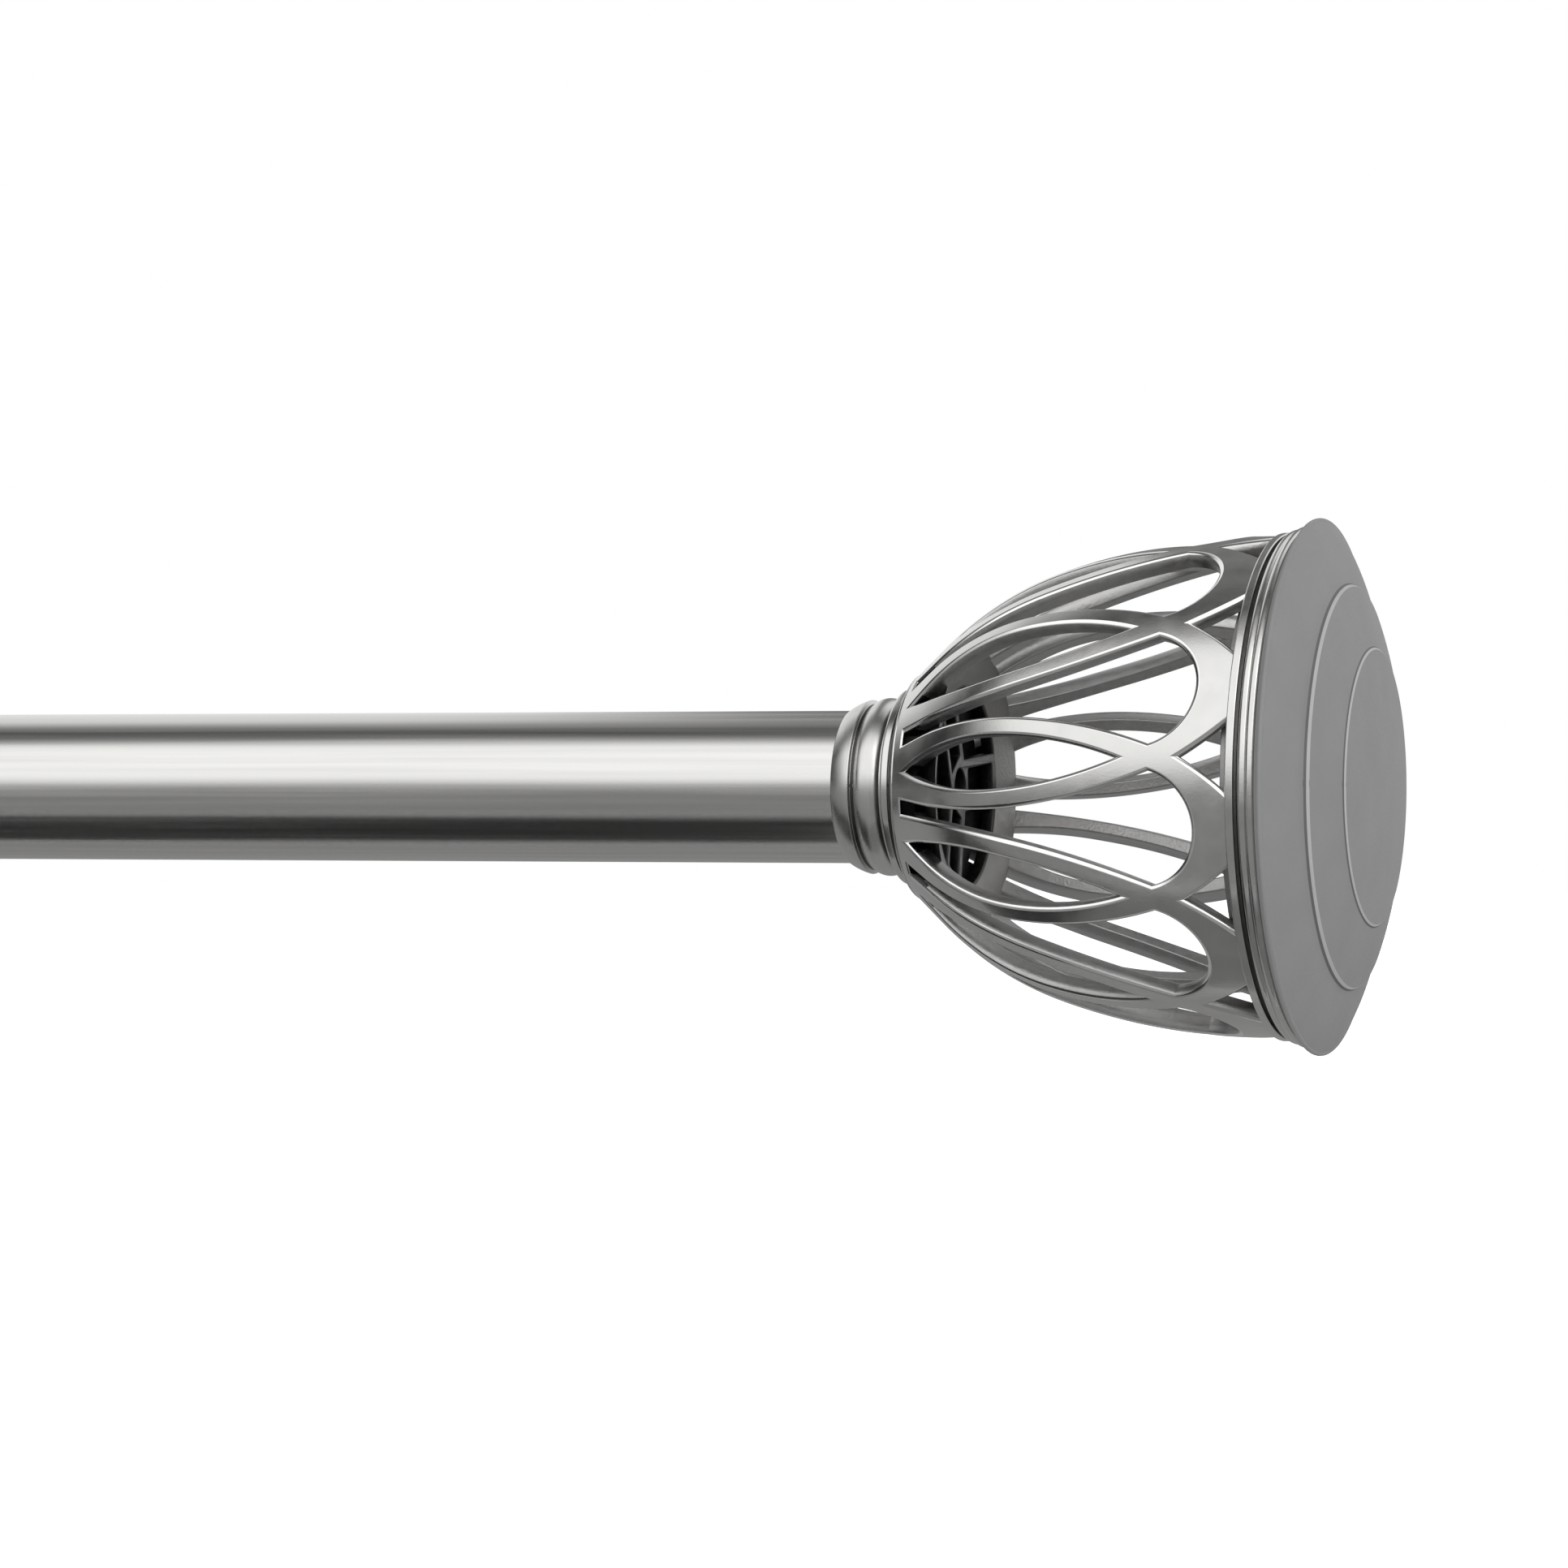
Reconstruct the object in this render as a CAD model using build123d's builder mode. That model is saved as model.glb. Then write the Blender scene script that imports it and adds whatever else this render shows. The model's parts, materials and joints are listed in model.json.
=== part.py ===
"""Spring tension curtain rod with open cage finials and domed wall pads.

Millimetres. The rod lies along X with +Z up, and its origin is the middle of the closed rod, on its axis.
Each finial is drawn from the seam between tube and collar, with its own X pointing away from the rod.
"""

import os
from math import cos, radians, sin, tan

from build123d import *

# Whole rod
length_travel = 305.0
spring_travel = 20.0
running_gap = 0.15
seat_gap = 0.1

# Tubes
outer_tube_d = 25.4
outer_tube_wall = 0.7
inner_tube_d = 22.2
inner_tube_wall = 0.7
inner_tube_showing = 60.0
overlap_when_long = 100.0
lock_room = 20.28

# Collar with two turned beads
collar_length = 9.4
collar_lip = 0.2
collar_bead_1_end = 3.4
collar_bead_1_height = 1.8
collar_bead_1_radius = 10.0
collar_groove_start = 3.6
collar_groove_end = 4.2
collar_groove_height = 1.5
collar_bead_2_crown = 5.6
collar_bead_2_height = 1.97
collar_bead_2_end = 8.6
collar_tail_height = 1.15

# Bell of the cage: outer edge of its section, from the mouth back to the neck
bell_mouth_r = 40.7
bell_mouth_straight = 3.7
bell_belly_radius = 102.7
bell_belly_angle = 18.5
bell_shoulder_radius = 53.2
bell_shoulder_angle = 24.6
bell_cone_length = 7.4
bell_wall = 3.0
mouth_ring_width = 1.4
mouth_ring_height = 0.5

# Neck of the cage: a rounded foot ring, a fine groove, a band and an edge ring
neck_length = 3.1
neck_foot_width = 1.4
neck_foot_inset = 2.5
neck_foot_round = 0.6
neck_groove_width = 0.8
neck_groove_depth = 0.5
neck_edge_width = 0.3
neck_band_inset = 1.5
neck_bore_r = 13.0

# Hoops of the cage, as the windows between them. Stations run from the end of the neck.
hoop_count = 11
hoop_turn = -6.8
lens_start = 3.6
lens_widest = 20.3
lens_end = 43.3
lens_half_height = 4.3
slot_start = 2.4
slot_start_half_height = 1.15
slot_bend = 24.7
slot_bend_half_height = 2.65
slot_corner = 48.6
slot_corner_half_height = 9.2
slot_end = 55.7
arrow_start = 53.5
arrow_bow = 0.15
arrow_half_height = 5.6

# Dished web in the neck: hollow arms from the screw hub to a ring on the bell. Stations of its front side.
web_at_hub = 5.9
web_at_ring = 6.9
web_at_wall = 8.8
web_thickness = 2.0
web_bite = 0.3
web_pocket_r = 16.5
hub_r = 4.3
hub_hole_r = 3.1
hub_floor = 3.0
arm_count = 3
arm_turn = 65.0
arm_rail_width = 1.6
arm_pocket_start = 4.4
arm_pocket_end = 15.4
arm_pocket_round = 0.6

# End plate
shadow_gap_width = 0.8
shadow_gap_depth = 1.0
plate_bead_width = 1.35
plate_bead_1_r = 41.4
plate_bead_2_r = 41.9
plate_bead_crown = 0.35
plate_thickness = 1.8
plate_spigot_length = 3.0
plate_spigot_wall = 2.0
plate_button_hole_r = 5.0

# Pad, with heights above its back face
pad_back_r = 42.0
pad_rim_r = 43.5
pad_rim_back = 0.8
pad_rim_front = 1.6
pad_rim_round = 0.3
pad_shoulder_r = 43.0
pad_step_1_r = 32.7
pad_step_1_low = 5.7
pad_step_1_high = 6.6
pad_step_2_r = 22.5
pad_step_2_low = 9.6
pad_step_2_high = 10.1
pad_step_slope = 0.25
pad_skirt_radius = 37.0
pad_terrace_radius = 64.0
pad_crown_radius = 200.0
pad_flat_r = 6.0
pad_height = 11.3
pad_button_head_r = 6.6
pad_button_head_length = 1.8

# Tube plug, screw and washer
plug_length = 24.0
plug_spigot_r = 9.0
screw_r = 2.0
screw_depth = 20.0
screw_head_r = 2.85
screw_head_length = 2.4
screw_drive_width = 1.0
screw_drive_depth = 1.2
washer_thickness = 0.8
washer_split = 0.6

# Bushes
bush_length = 14.0
bush_lip = 1.6
glide_flange = 2.0
glide_spigot = 12.0

# Twist lock and spring
stem_r = 3.2
stop_nut_r = 7.5
stop_nut_length = 6.0
spring_closed_length = 25.0
spring_wire_r = 0.8
spring_wire_sides = 8
spring_coil_r = 6.6
spring_turns = 8
lock_shoulder_r = 9.5
lock_shoulder_length = 3.0
lock_cam_r = 8.0
lock_cam_offset = 0.5
lock_cam_length = 20.0
lock_ring_slot = 3.0
lock_ring_side_gap = 0.3

# Worked out from the sizes above
outer_tube_r = outer_tube_d / 2
outer_bore_r = outer_tube_r - outer_tube_wall
inner_tube_r = inner_tube_d / 2
inner_bore_r = inner_tube_r - inner_tube_wall

belly_turn = radians(bell_belly_angle)
whole_turn = radians(bell_belly_angle + bell_shoulder_angle)
belly_run = bell_belly_radius * sin(belly_turn)
belly_rise = bell_belly_radius * (1 - cos(belly_turn))
shoulder_run = bell_shoulder_radius * (sin(whole_turn) - sin(belly_turn))
shoulder_rise = bell_shoulder_radius * (cos(belly_turn) - cos(whole_turn))

cone_run = bell_cone_length * cos(whole_turn)
cone_rise = bell_cone_length * sin(whole_turn)

neck_r = bell_mouth_r - belly_rise - shoulder_rise - cone_rise
neck_end = collar_length + neck_length
ring_start = neck_end + cone_run + shoulder_run + belly_run + bell_mouth_straight
cage_end = ring_start + mouth_ring_width
plate_bead_start = cage_end + shadow_gap_width
plate_front = plate_bead_start + 2 * plate_bead_width
finial_length = plate_front + pad_height

spring_length = spring_closed_length + spring_travel
lock_length = 2 * lock_shoulder_length + lock_cam_length
slide_length = length_travel + overlap_when_long + glide_flange + spring_length
outer_tube_length = slide_length + lock_length + lock_room + plug_length

seam_x = (inner_tube_showing + outer_tube_length) / 2
mouth_x = seam_x - outer_tube_length
inner_end_x = mouth_x + length_travel + overlap_when_long
glide_end_x = inner_end_x + glide_flange
shoulder_x = glide_end_x + spring_length
cam_x = shoulder_x + lock_shoulder_length
cam_end_x = cam_x + lock_cam_length
stem_tail_x = inner_end_x - glide_spigot - seat_gap - stop_nut_length

rod_axis = Axis.X
rod_section = Plane.XZ

os.makedirs("parts", exist_ok=True)


def save(builder, name):
    """Label a finished piece and write it to its own file."""
    builder.part.label = name
    export_step(builder.part, f"parts/{name}.step")


def section_ring(start, end, inner_r, outer_r):
    """Half section of a plain ring or rod along the section's X."""
    with Locations((start, inner_r)):
        Rectangle(end - start, outer_r - inner_r, align=(Align.MIN, Align.MIN))


def bell_edge(inset):
    """Bell line from the mouth ring back to the neck, set in from the outer edge."""
    straight_end = (ring_start - bell_mouth_straight, bell_mouth_r - inset)
    belly = JernArc(straight_end, (-1, 0), bell_belly_radius - inset, bell_belly_angle)
    shoulder = JernArc(belly @ 1, belly % 1, bell_shoulder_radius - inset, bell_shoulder_angle)
    cone = PolarLine(shoulder @ 1, bell_cone_length, direction=shoulder % 1)
    return straight_end, cone @ 1


def turned_planes(section, first_turn):
    """Planes spaced evenly round the finial, each facing outward from the rod axis."""
    pitch = 360 / hoop_count
    return [section.rotated((first_turn + pitch * i, 0, 0)) for i in range(hoop_count)]


def make_collar(side, section):
    with BuildPart() as collar:
        with BuildSketch(section):
            with BuildLine():
                lip = (0, outer_tube_r + collar_lip)
                bead_1 = (collar_bead_1_end, outer_tube_r + collar_bead_1_height)
                groove_a = (collar_groove_start, outer_tube_r + collar_groove_height)
                groove_b = (collar_groove_end, outer_tube_r + collar_groove_height)
                bead_2 = (collar_bead_2_crown, outer_tube_r + collar_bead_2_height)
                tail = (collar_bead_2_end, outer_tube_r + collar_tail_height)
                rise = RadiusArc(lip, bead_1, collar_bead_1_radius)
                Line(rise @ 1, groove_a)
                Line(groove_a, groove_b)
                ThreePointArc(groove_b, bead_2, tail)
                end = (collar_length, outer_tube_r + collar_tail_height)
                Polyline(tail, end, (collar_length, plug_spigot_r + seat_gap), (0, plug_spigot_r + seat_gap), lip)
            make_face()
        revolve(axis=rod_axis)
    save(collar, f"{side}_collar")


def make_cage(side, section):
    foot_r = neck_r - neck_foot_inset
    foot_end = collar_length + neck_foot_width
    groove_end = foot_end + neck_groove_width
    band_r = neck_r - neck_band_inset
    edge_start = neck_end - neck_edge_width
    slot_turn = hoop_turn + 180 / hoop_count

    with BuildPart() as cage:
        # Shell of the neck and bell
        with BuildSketch(section):
            with BuildLine():
                mouth_outer, neck_outer = bell_edge(0)
                mouth_inner, neck_inner = bell_edge(bell_wall)
                Polyline(
                    mouth_outer,
                    (ring_start, bell_mouth_r),
                    (ring_start, bell_mouth_r + mouth_ring_height),
                    (cage_end, bell_mouth_r + mouth_ring_height),
                    (cage_end, bell_mouth_r - bell_wall),
                    mouth_inner,
                )
                Polyline(
                    neck_outer,
                    (edge_start, neck_r),
                    (edge_start, band_r),
                    (groove_end, band_r),
                    (groove_end, foot_r - neck_groove_depth),
                    (foot_end, foot_r - neck_groove_depth),
                    (foot_end, foot_r),
                    (collar_length + neck_foot_round, foot_r),
                )
                RadiusArc((collar_length + neck_foot_round, foot_r), (collar_length, foot_r - neck_foot_round),
                          -neck_foot_round)
                Polyline(
                    (collar_length, foot_r - neck_foot_round),
                    (collar_length, neck_bore_r),
                    (neck_end, neck_bore_r),
                    neck_inner,
                )
            make_face()
        revolve(axis=rod_axis)

        # Pointed windows where two hoops overlap, and arrow windows where they part at the ring
        with BuildSketch(*turned_planes(section, hoop_turn)):
            with BuildLine():
                lens_tips = ((neck_end + lens_start, 0), (neck_end + lens_end, 0))
                for half_height in (lens_half_height, -lens_half_height):
                    widest = (neck_end + lens_widest, half_height)
                    TangentArc(widest, lens_tips[0], tangent=(-1, 0))
                    TangentArc(widest, lens_tips[1], tangent=(1, 0))
            make_face()
            with BuildLine():
                arrow_tip = (neck_end + arrow_start, 0)
                arrow_middle = (neck_end + arrow_start + ring_start) / 2 + arrow_bow
                arrow_middle_height = arrow_half_height / 2 - arrow_bow
                upper = ThreePointArc(arrow_tip, (arrow_middle, arrow_middle_height), (ring_start, arrow_half_height))
                lower = ThreePointArc(arrow_tip, (arrow_middle, -arrow_middle_height), (ring_start, -arrow_half_height))
                Line(upper @ 1, lower @ 1)
            make_face()
        extrude(amount=bell_mouth_r + mouth_ring_height, mode=Mode.SUBTRACT)

        # Long windows inside each hoop
        with BuildSketch(*turned_planes(section, slot_turn)):
            with BuildLine():
                corner = (neck_end + slot_corner, slot_corner_half_height)
                bend = (neck_end + slot_bend, slot_bend_half_height)
                root = (neck_end + slot_start, slot_start_half_height)
                ThreePointArc(root, bend, corner)
                ThreePointArc(corner, (neck_end + slot_end, 0), (corner[0], -corner[1]))
                ThreePointArc((root[0], -root[1]), (bend[0], -bend[1]), (corner[0], -corner[1]))
                Line((root[0], -root[1]), root)
            make_face()
        extrude(amount=bell_mouth_r + mouth_ring_height, mode=Mode.SUBTRACT)

        # Web and screw hub
        hub_front = neck_end + web_at_hub
        ring_front = neck_end + web_at_ring
        wall_front = neck_end + web_at_wall
        wall_back = wall_front - web_thickness
        inner_slope = tan(whole_turn)
        wall_r = neck_inner.Y + web_bite
        with BuildSketch(section):
            with BuildLine():
                Polyline(
                    (hub_front, 0),
                    (hub_front, hub_r),
                    (ring_front, web_pocket_r),
                    (wall_front, wall_r + (wall_front - neck_inner.X) * inner_slope),
                    (wall_back, wall_r + (wall_back - neck_inner.X) * inner_slope),
                    (ring_front - web_thickness, web_pocket_r),
                    (hub_front - web_thickness, hub_r),
                    (hub_front - web_thickness, 0),
                    close=True,
                )
            make_face()
        revolve(axis=rod_axis)
        web_face = Plane(section.from_local_coords((ring_front, 0, 0)), x_dir=section.z_dir, z_dir=section.x_dir)
        with BuildSketch(web_face):
            Circle(web_pocket_r)
            with PolarLocations(0, arm_count, start_angle=arm_turn):
                Rectangle(web_pocket_r, 2 * hub_r, align=(Align.MIN, Align.CENTER), mode=Mode.SUBTRACT)
            Circle(hub_r, mode=Mode.SUBTRACT)
            with PolarLocations((arm_pocket_start + arm_pocket_end) / 2, arm_count, start_angle=arm_turn):
                RectangleRounded(arm_pocket_end - arm_pocket_start, 2 * (hub_r - arm_rail_width), arm_pocket_round)
        extrude(amount=hub_front - ring_front - web_thickness, mode=Mode.SUBTRACT)
        with BuildSketch(section):
            section_ring(collar_length, hub_front, 0, hub_r)
        revolve(axis=rod_axis)
        with BuildSketch(section):
            section_ring(collar_length, hub_front, 0, screw_r + running_gap)
            section_ring(collar_length + hub_floor, hub_front, 0, hub_hole_r)
        revolve(axis=rod_axis, mode=Mode.SUBTRACT)
    save(cage, f"{side}_cage")


def make_end_plate(side, section):
    spigot_r = bell_mouth_r - bell_wall - seat_gap
    gap_r = bell_mouth_r + mouth_ring_height - shadow_gap_depth
    bead_middle = plate_bead_start + plate_bead_width
    with BuildPart() as plate:
        with BuildSketch(section):
            with BuildLine():
                Polyline(
                    (plate_bead_start, plate_bead_1_r),
                    (plate_bead_start, gap_r),
                    (cage_end, gap_r),
                    (cage_end, spigot_r),
                    (cage_end - plate_spigot_length, spigot_r),
                    (cage_end - plate_spigot_length, spigot_r - plate_spigot_wall),
                    (plate_front - plate_thickness, spigot_r - plate_spigot_wall),
                    (plate_front - plate_thickness, plate_button_hole_r),
                    (plate_front, plate_button_hole_r),
                    (plate_front, plate_bead_2_r),
                )
                SagittaArc((plate_bead_start, plate_bead_1_r), (bead_middle, plate_bead_1_r), plate_bead_crown)
                Line((bead_middle, plate_bead_1_r), (bead_middle, plate_bead_2_r))
                SagittaArc((bead_middle, plate_bead_2_r), (plate_front, plate_bead_2_r), plate_bead_crown)
            make_face()
        revolve(axis=rod_axis)
    save(plate, f"{side}_end_plate")


def make_pad(side, section):
    back = plate_front
    step_1_out = pad_step_1_r + pad_step_slope
    step_1_in = pad_step_1_r - pad_step_slope
    step_2_out = pad_step_2_r + pad_step_slope
    step_2_in = pad_step_2_r - pad_step_slope
    stem_r_in_hole = plate_button_hole_r - seat_gap
    head_start = back - plate_thickness - seat_gap
    with BuildPart() as pad:
        with BuildSketch(section):
            with BuildLine():
                rim_middle = back + (pad_rim_back + pad_rim_front) / 2
                Line((back, pad_back_r), (back + pad_rim_back, pad_rim_r - pad_rim_round))
                ThreePointArc(
                    (back + pad_rim_back, pad_rim_r - pad_rim_round),
                    (rim_middle, pad_rim_r),
                    (back + pad_rim_front, pad_shoulder_r),
                )
                RadiusArc((back + pad_rim_front, pad_shoulder_r), (back + pad_step_1_low, step_1_out),
                          pad_skirt_radius)
                Line((back + pad_step_1_low, step_1_out), (back + pad_step_1_high, step_1_in))
                RadiusArc((back + pad_step_1_high, step_1_in), (back + pad_step_2_low, step_2_out),
                          pad_terrace_radius)
                Line((back + pad_step_2_low, step_2_out), (back + pad_step_2_high, step_2_in))
                RadiusArc((back + pad_step_2_high, step_2_in), (back + pad_height, pad_flat_r),
                          pad_crown_radius)
                Polyline(
                    (back + pad_height, pad_flat_r),
                    (back + pad_height, 0),
                    (head_start - pad_button_head_length, 0),
                    (head_start - pad_button_head_length, pad_button_head_r),
                    (head_start, pad_button_head_r),
                    (head_start, stem_r_in_hole),
                    (back, stem_r_in_hole),
                    (back, pad_back_r),
                )
            make_face()
        revolve(axis=rod_axis)
    save(pad, f"{side}_pad")


def make_tube_plug(side, section, bore_r):
    with BuildPart() as plug:
        with BuildSketch(section):
            section_ring(-plug_length, 0, 0, bore_r - seat_gap)
            section_ring(0, collar_length - seat_gap, 0, plug_spigot_r)
        revolve(axis=rod_axis)
        with BuildSketch(section):
            section_ring(-screw_depth, collar_length, 0, screw_r + seat_gap)
        revolve(axis=rod_axis, mode=Mode.SUBTRACT)
    save(plug, f"{side}_tube_plug")


def make_screw_and_washer(side, section):
    washer_start = collar_length + hub_floor
    head_start = washer_start + washer_thickness
    head_end = head_start + screw_head_length
    with BuildPart() as screw:
        with BuildSketch(section):
            section_ring(seat_gap - screw_depth, head_start, 0, screw_r)
            section_ring(head_start, head_end, 0, screw_head_r)
        revolve(axis=rod_axis)
        drive_face = Plane(section.from_local_coords((head_end, 0, 0)), x_dir=section.z_dir, z_dir=section.x_dir)
        with BuildSketch(drive_face):
            Rectangle(2 * screw_r, screw_drive_width)
            Rectangle(screw_drive_width, 2 * screw_r)
        extrude(amount=-screw_drive_depth, mode=Mode.SUBTRACT)
    save(screw, f"{side}_screw")

    with BuildPart() as washer:
        with BuildSketch(section):
            section_ring(washer_start, head_start, screw_r + seat_gap, screw_head_r)
        revolve(axis=rod_axis)
        split_face = Plane(section.from_local_coords((head_start, 0, 0)), x_dir=section.z_dir, z_dir=section.x_dir)
        with BuildSketch(split_face):
            Rectangle(2 * screw_head_r, washer_split, align=(Align.MIN, Align.CENTER))
        extrude(amount=-washer_thickness, mode=Mode.SUBTRACT)
    save(washer, f"{side}_washer")


def make_tubes():
    with BuildPart() as outer_tube:
        with BuildSketch(rod_section):
            section_ring(mouth_x, seam_x, outer_bore_r, outer_tube_r)
        revolve(axis=rod_axis)
    save(outer_tube, "outer_tube")

    with BuildPart() as inner_tube:
        with BuildSketch(rod_section):
            section_ring(-seam_x, inner_end_x, inner_bore_r, inner_tube_r)
        revolve(axis=rod_axis)
    save(inner_tube, "inner_tube")


def make_bushes():
    with BuildPart() as mouth_bush:
        with BuildSketch(rod_section):
            section_ring(mouth_x - bush_lip, mouth_x, inner_tube_r + running_gap, outer_tube_r)
            section_ring(mouth_x, mouth_x + bush_length, inner_tube_r + running_gap, outer_bore_r - seat_gap)
        revolve(axis=rod_axis)
        lip_edge = mouth_bush.edges().filter_by(GeomType.CIRCLE).group_by(Axis.X)[0].sort_by(SortBy.RADIUS)[-1]
        fillet(lip_edge, min(bush_lip, outer_tube_r - inner_tube_r) / 2)
    save(mouth_bush, "mouth_bush")

    with BuildPart() as tail_glide:
        with BuildSketch(rod_section):
            section_ring(inner_end_x, glide_end_x, stem_r + running_gap, outer_bore_r - running_gap)
            section_ring(inner_end_x - glide_spigot, inner_end_x, stem_r + running_gap, inner_bore_r - seat_gap)
        revolve(axis=rod_axis)
    save(tail_glide, "tail_glide")


def make_lock():
    with BuildPart() as lock_core:
        with BuildSketch(rod_section):
            section_ring(stem_tail_x, shoulder_x, 0, stem_r)
            section_ring(shoulder_x, cam_x, 0, lock_shoulder_r)
            section_ring(cam_end_x, cam_end_x + lock_shoulder_length, 0, lock_shoulder_r)
        revolve(axis=rod_axis)
        with BuildSketch(Plane.YZ.offset(cam_x)):
            with Locations((0, lock_cam_offset)):
                Circle(lock_cam_r)
        extrude(amount=lock_cam_length)
    save(lock_core, "lock_core")

    ring_bore_r = lock_cam_r + lock_cam_offset + running_gap
    with BuildPart() as lock_ring:
        with BuildSketch(Plane.YZ.offset(cam_x + lock_ring_side_gap)):
            Circle(outer_bore_r - 2 * running_gap)
            Circle(ring_bore_r, mode=Mode.SUBTRACT)
            Rectangle(lock_ring_slot, outer_tube_d, align=(Align.CENTER, Align.MAX), mode=Mode.SUBTRACT)
        extrude(amount=lock_cam_length - 2 * lock_ring_side_gap)
    save(lock_ring, "lock_ring")

    with BuildPart() as stem_stop:
        with BuildSketch(Plane.YZ.offset(stem_tail_x)):
            RegularPolygon(stop_nut_r, 6)
            Circle(stem_r + seat_gap / 2, mode=Mode.SUBTRACT)
        extrude(amount=stop_nut_length)
    save(stem_stop, "stem_stop")


def make_spring():
    spring_start = glide_end_x + seat_gap + spring_wire_r
    spring_run = spring_length - 2 * (seat_gap + spring_wire_r)
    with BuildPart() as spring:
        with BuildLine() as coil:
            Helix(spring_run / spring_turns, spring_run, spring_coil_r, center=(spring_start, 0, 0), direction=(1, 0, 0))
        with BuildSketch(Plane(coil.line @ 0, z_dir=coil.line % 0)):
            RegularPolygon(spring_wire_r, spring_wire_sides)
        sweep(is_frenet=True)
    save(spring, "tension_spring")


def make_finial(side, section, bore_r):
    make_collar(side, section)
    make_cage(side, section)
    make_end_plate(side, section)
    make_pad(side, section)
    make_tube_plug(side, section, bore_r)
    make_screw_and_washer(side, section)


make_tubes()
make_bushes()
make_lock()
make_spring()
make_finial("right", Plane((seam_x, 0, 0), x_dir=(1, 0, 0), z_dir=(0, -1, 0)), outer_bore_r)
make_finial("left", Plane((-seam_x, 0, 0), x_dir=(-1, 0, 0), z_dir=(0, 1, 0)), inner_bore_r)
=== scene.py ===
import json
import math

import bpy
from mathutils import Matrix, Vector
from mathutils.geometry import delaunay_2d_cdt


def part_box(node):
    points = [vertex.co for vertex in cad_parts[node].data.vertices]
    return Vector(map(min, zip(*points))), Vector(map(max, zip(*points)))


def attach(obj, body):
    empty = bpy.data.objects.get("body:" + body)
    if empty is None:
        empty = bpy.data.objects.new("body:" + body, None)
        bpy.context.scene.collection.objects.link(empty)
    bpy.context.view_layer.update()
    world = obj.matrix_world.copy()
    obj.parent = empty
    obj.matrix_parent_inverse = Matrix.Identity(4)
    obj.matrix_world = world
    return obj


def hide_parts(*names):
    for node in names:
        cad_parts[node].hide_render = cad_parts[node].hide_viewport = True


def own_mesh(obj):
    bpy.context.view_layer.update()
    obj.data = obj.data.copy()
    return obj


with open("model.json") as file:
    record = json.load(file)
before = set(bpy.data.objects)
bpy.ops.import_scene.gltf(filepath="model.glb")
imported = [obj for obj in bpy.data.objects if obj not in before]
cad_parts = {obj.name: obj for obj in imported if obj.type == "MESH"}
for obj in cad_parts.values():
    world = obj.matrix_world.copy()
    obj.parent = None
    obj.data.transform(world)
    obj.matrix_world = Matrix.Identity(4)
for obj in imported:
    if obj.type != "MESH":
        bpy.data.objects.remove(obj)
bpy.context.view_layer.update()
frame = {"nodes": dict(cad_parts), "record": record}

MM = 0.001

# Collar, in millimetres from the seam between tube and collar
COLLAR_LENGTH = 9.4
COLLAR_BORE_R = 9.1
COLLAR_LIP_R = 12.9
COLLAR_BEAD_1 = (3.4, 14.5)
COLLAR_BEAD_1_BOW = 0.18
COLLAR_GROOVE = (3.6, 4.2)
COLLAR_GROOVE_R = 13.8
COLLAR_BEAD_2 = (5.6, 14.67)
COLLAR_TAIL = (8.6, 13.85)

# Bell of the cage: outer edge of its section
BELL_MOUTH_R = 40.7
BELL_STRAIGHT = 3.7
BELLY_RADIUS = 102.7
BELLY_TURN = math.radians(18.5)
SHOULDER_RADIUS = 53.2
WHOLE_TURN = math.radians(18.5 + 24.6)
CONE_LENGTH = 7.4
BELL_WALL = 3.0
RING_WIDTH = 1.4
RING_HEIGHT = 0.5

# Neck of the cage
NECK_LENGTH = 3.1
NECK_BORE_R = 13.0
FOOT_WIDTH = 1.4
FOOT_INSET = 2.5
FOOT_ROUND = 0.6
GROOVE_WIDTH = 0.8
GROOVE_DEPTH = 0.5
BAND_INSET = 1.5
EDGE_WIDTH = 0.3

# Windows between the hoops, from the end of the neck
HOOP_COUNT = 11
HOOP_TURN = math.radians(-6.8)
LENS_START = 3.6
LENS_WIDEST = 20.3
LENS_END = 43.3
LENS_HALF = 4.3
SLOT_START = 2.4
SLOT_START_HALF = 1.15
SLOT_BEND = 24.7
SLOT_BEND_HALF = 2.65
SLOT_CORNER = 48.6
SLOT_CORNER_HALF = 9.2
SLOT_END = 55.7
ARROW_START = 53.5
ARROW_BOW = 0.15
ARROW_HALF = 5.6

# Edge of a window: bevel on the outer side, rounded wall that opens inwards, small round on the inner side
BEVEL_GROWTH = 0.62
BEVEL_TURNS = (math.radians(15), math.radians(48))
WALL_ROWS = ((0.0, 0.38, 62), (-0.12, 0.9, 75), (-0.05, 1.7, 92), (0.2, 2.7, 100))
INNER_ROUND = 0.3
LATTICE_TUCK = 0.5
LATTICE_STEP = 1.3

# Dished web with hollow arms, and hub; stations of the web's front side
WEB_AT_HUB = 5.9
WEB_AT_RING = 6.9
WEB_AT_WALL = 8.8
WEB_THICKNESS = 2.0
WEB_BITE = 0.3
WEB_POCKET_R = 16.5
HUB_R = 4.3
HUB_HOLE_R = 3.1
HUB_BORE_R = 2.15
HUB_FLOOR = 3.0
ARM_COUNT = 3
ARM_TURN = math.radians(5.0)
ARM_RAIL_WIDTH = 1.6
ARM_POCKET_START = 4.4
ARM_POCKET_END = 15.4
ARM_POCKET_ROUND = 0.6
WEB_EDGE = 0.2

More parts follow.
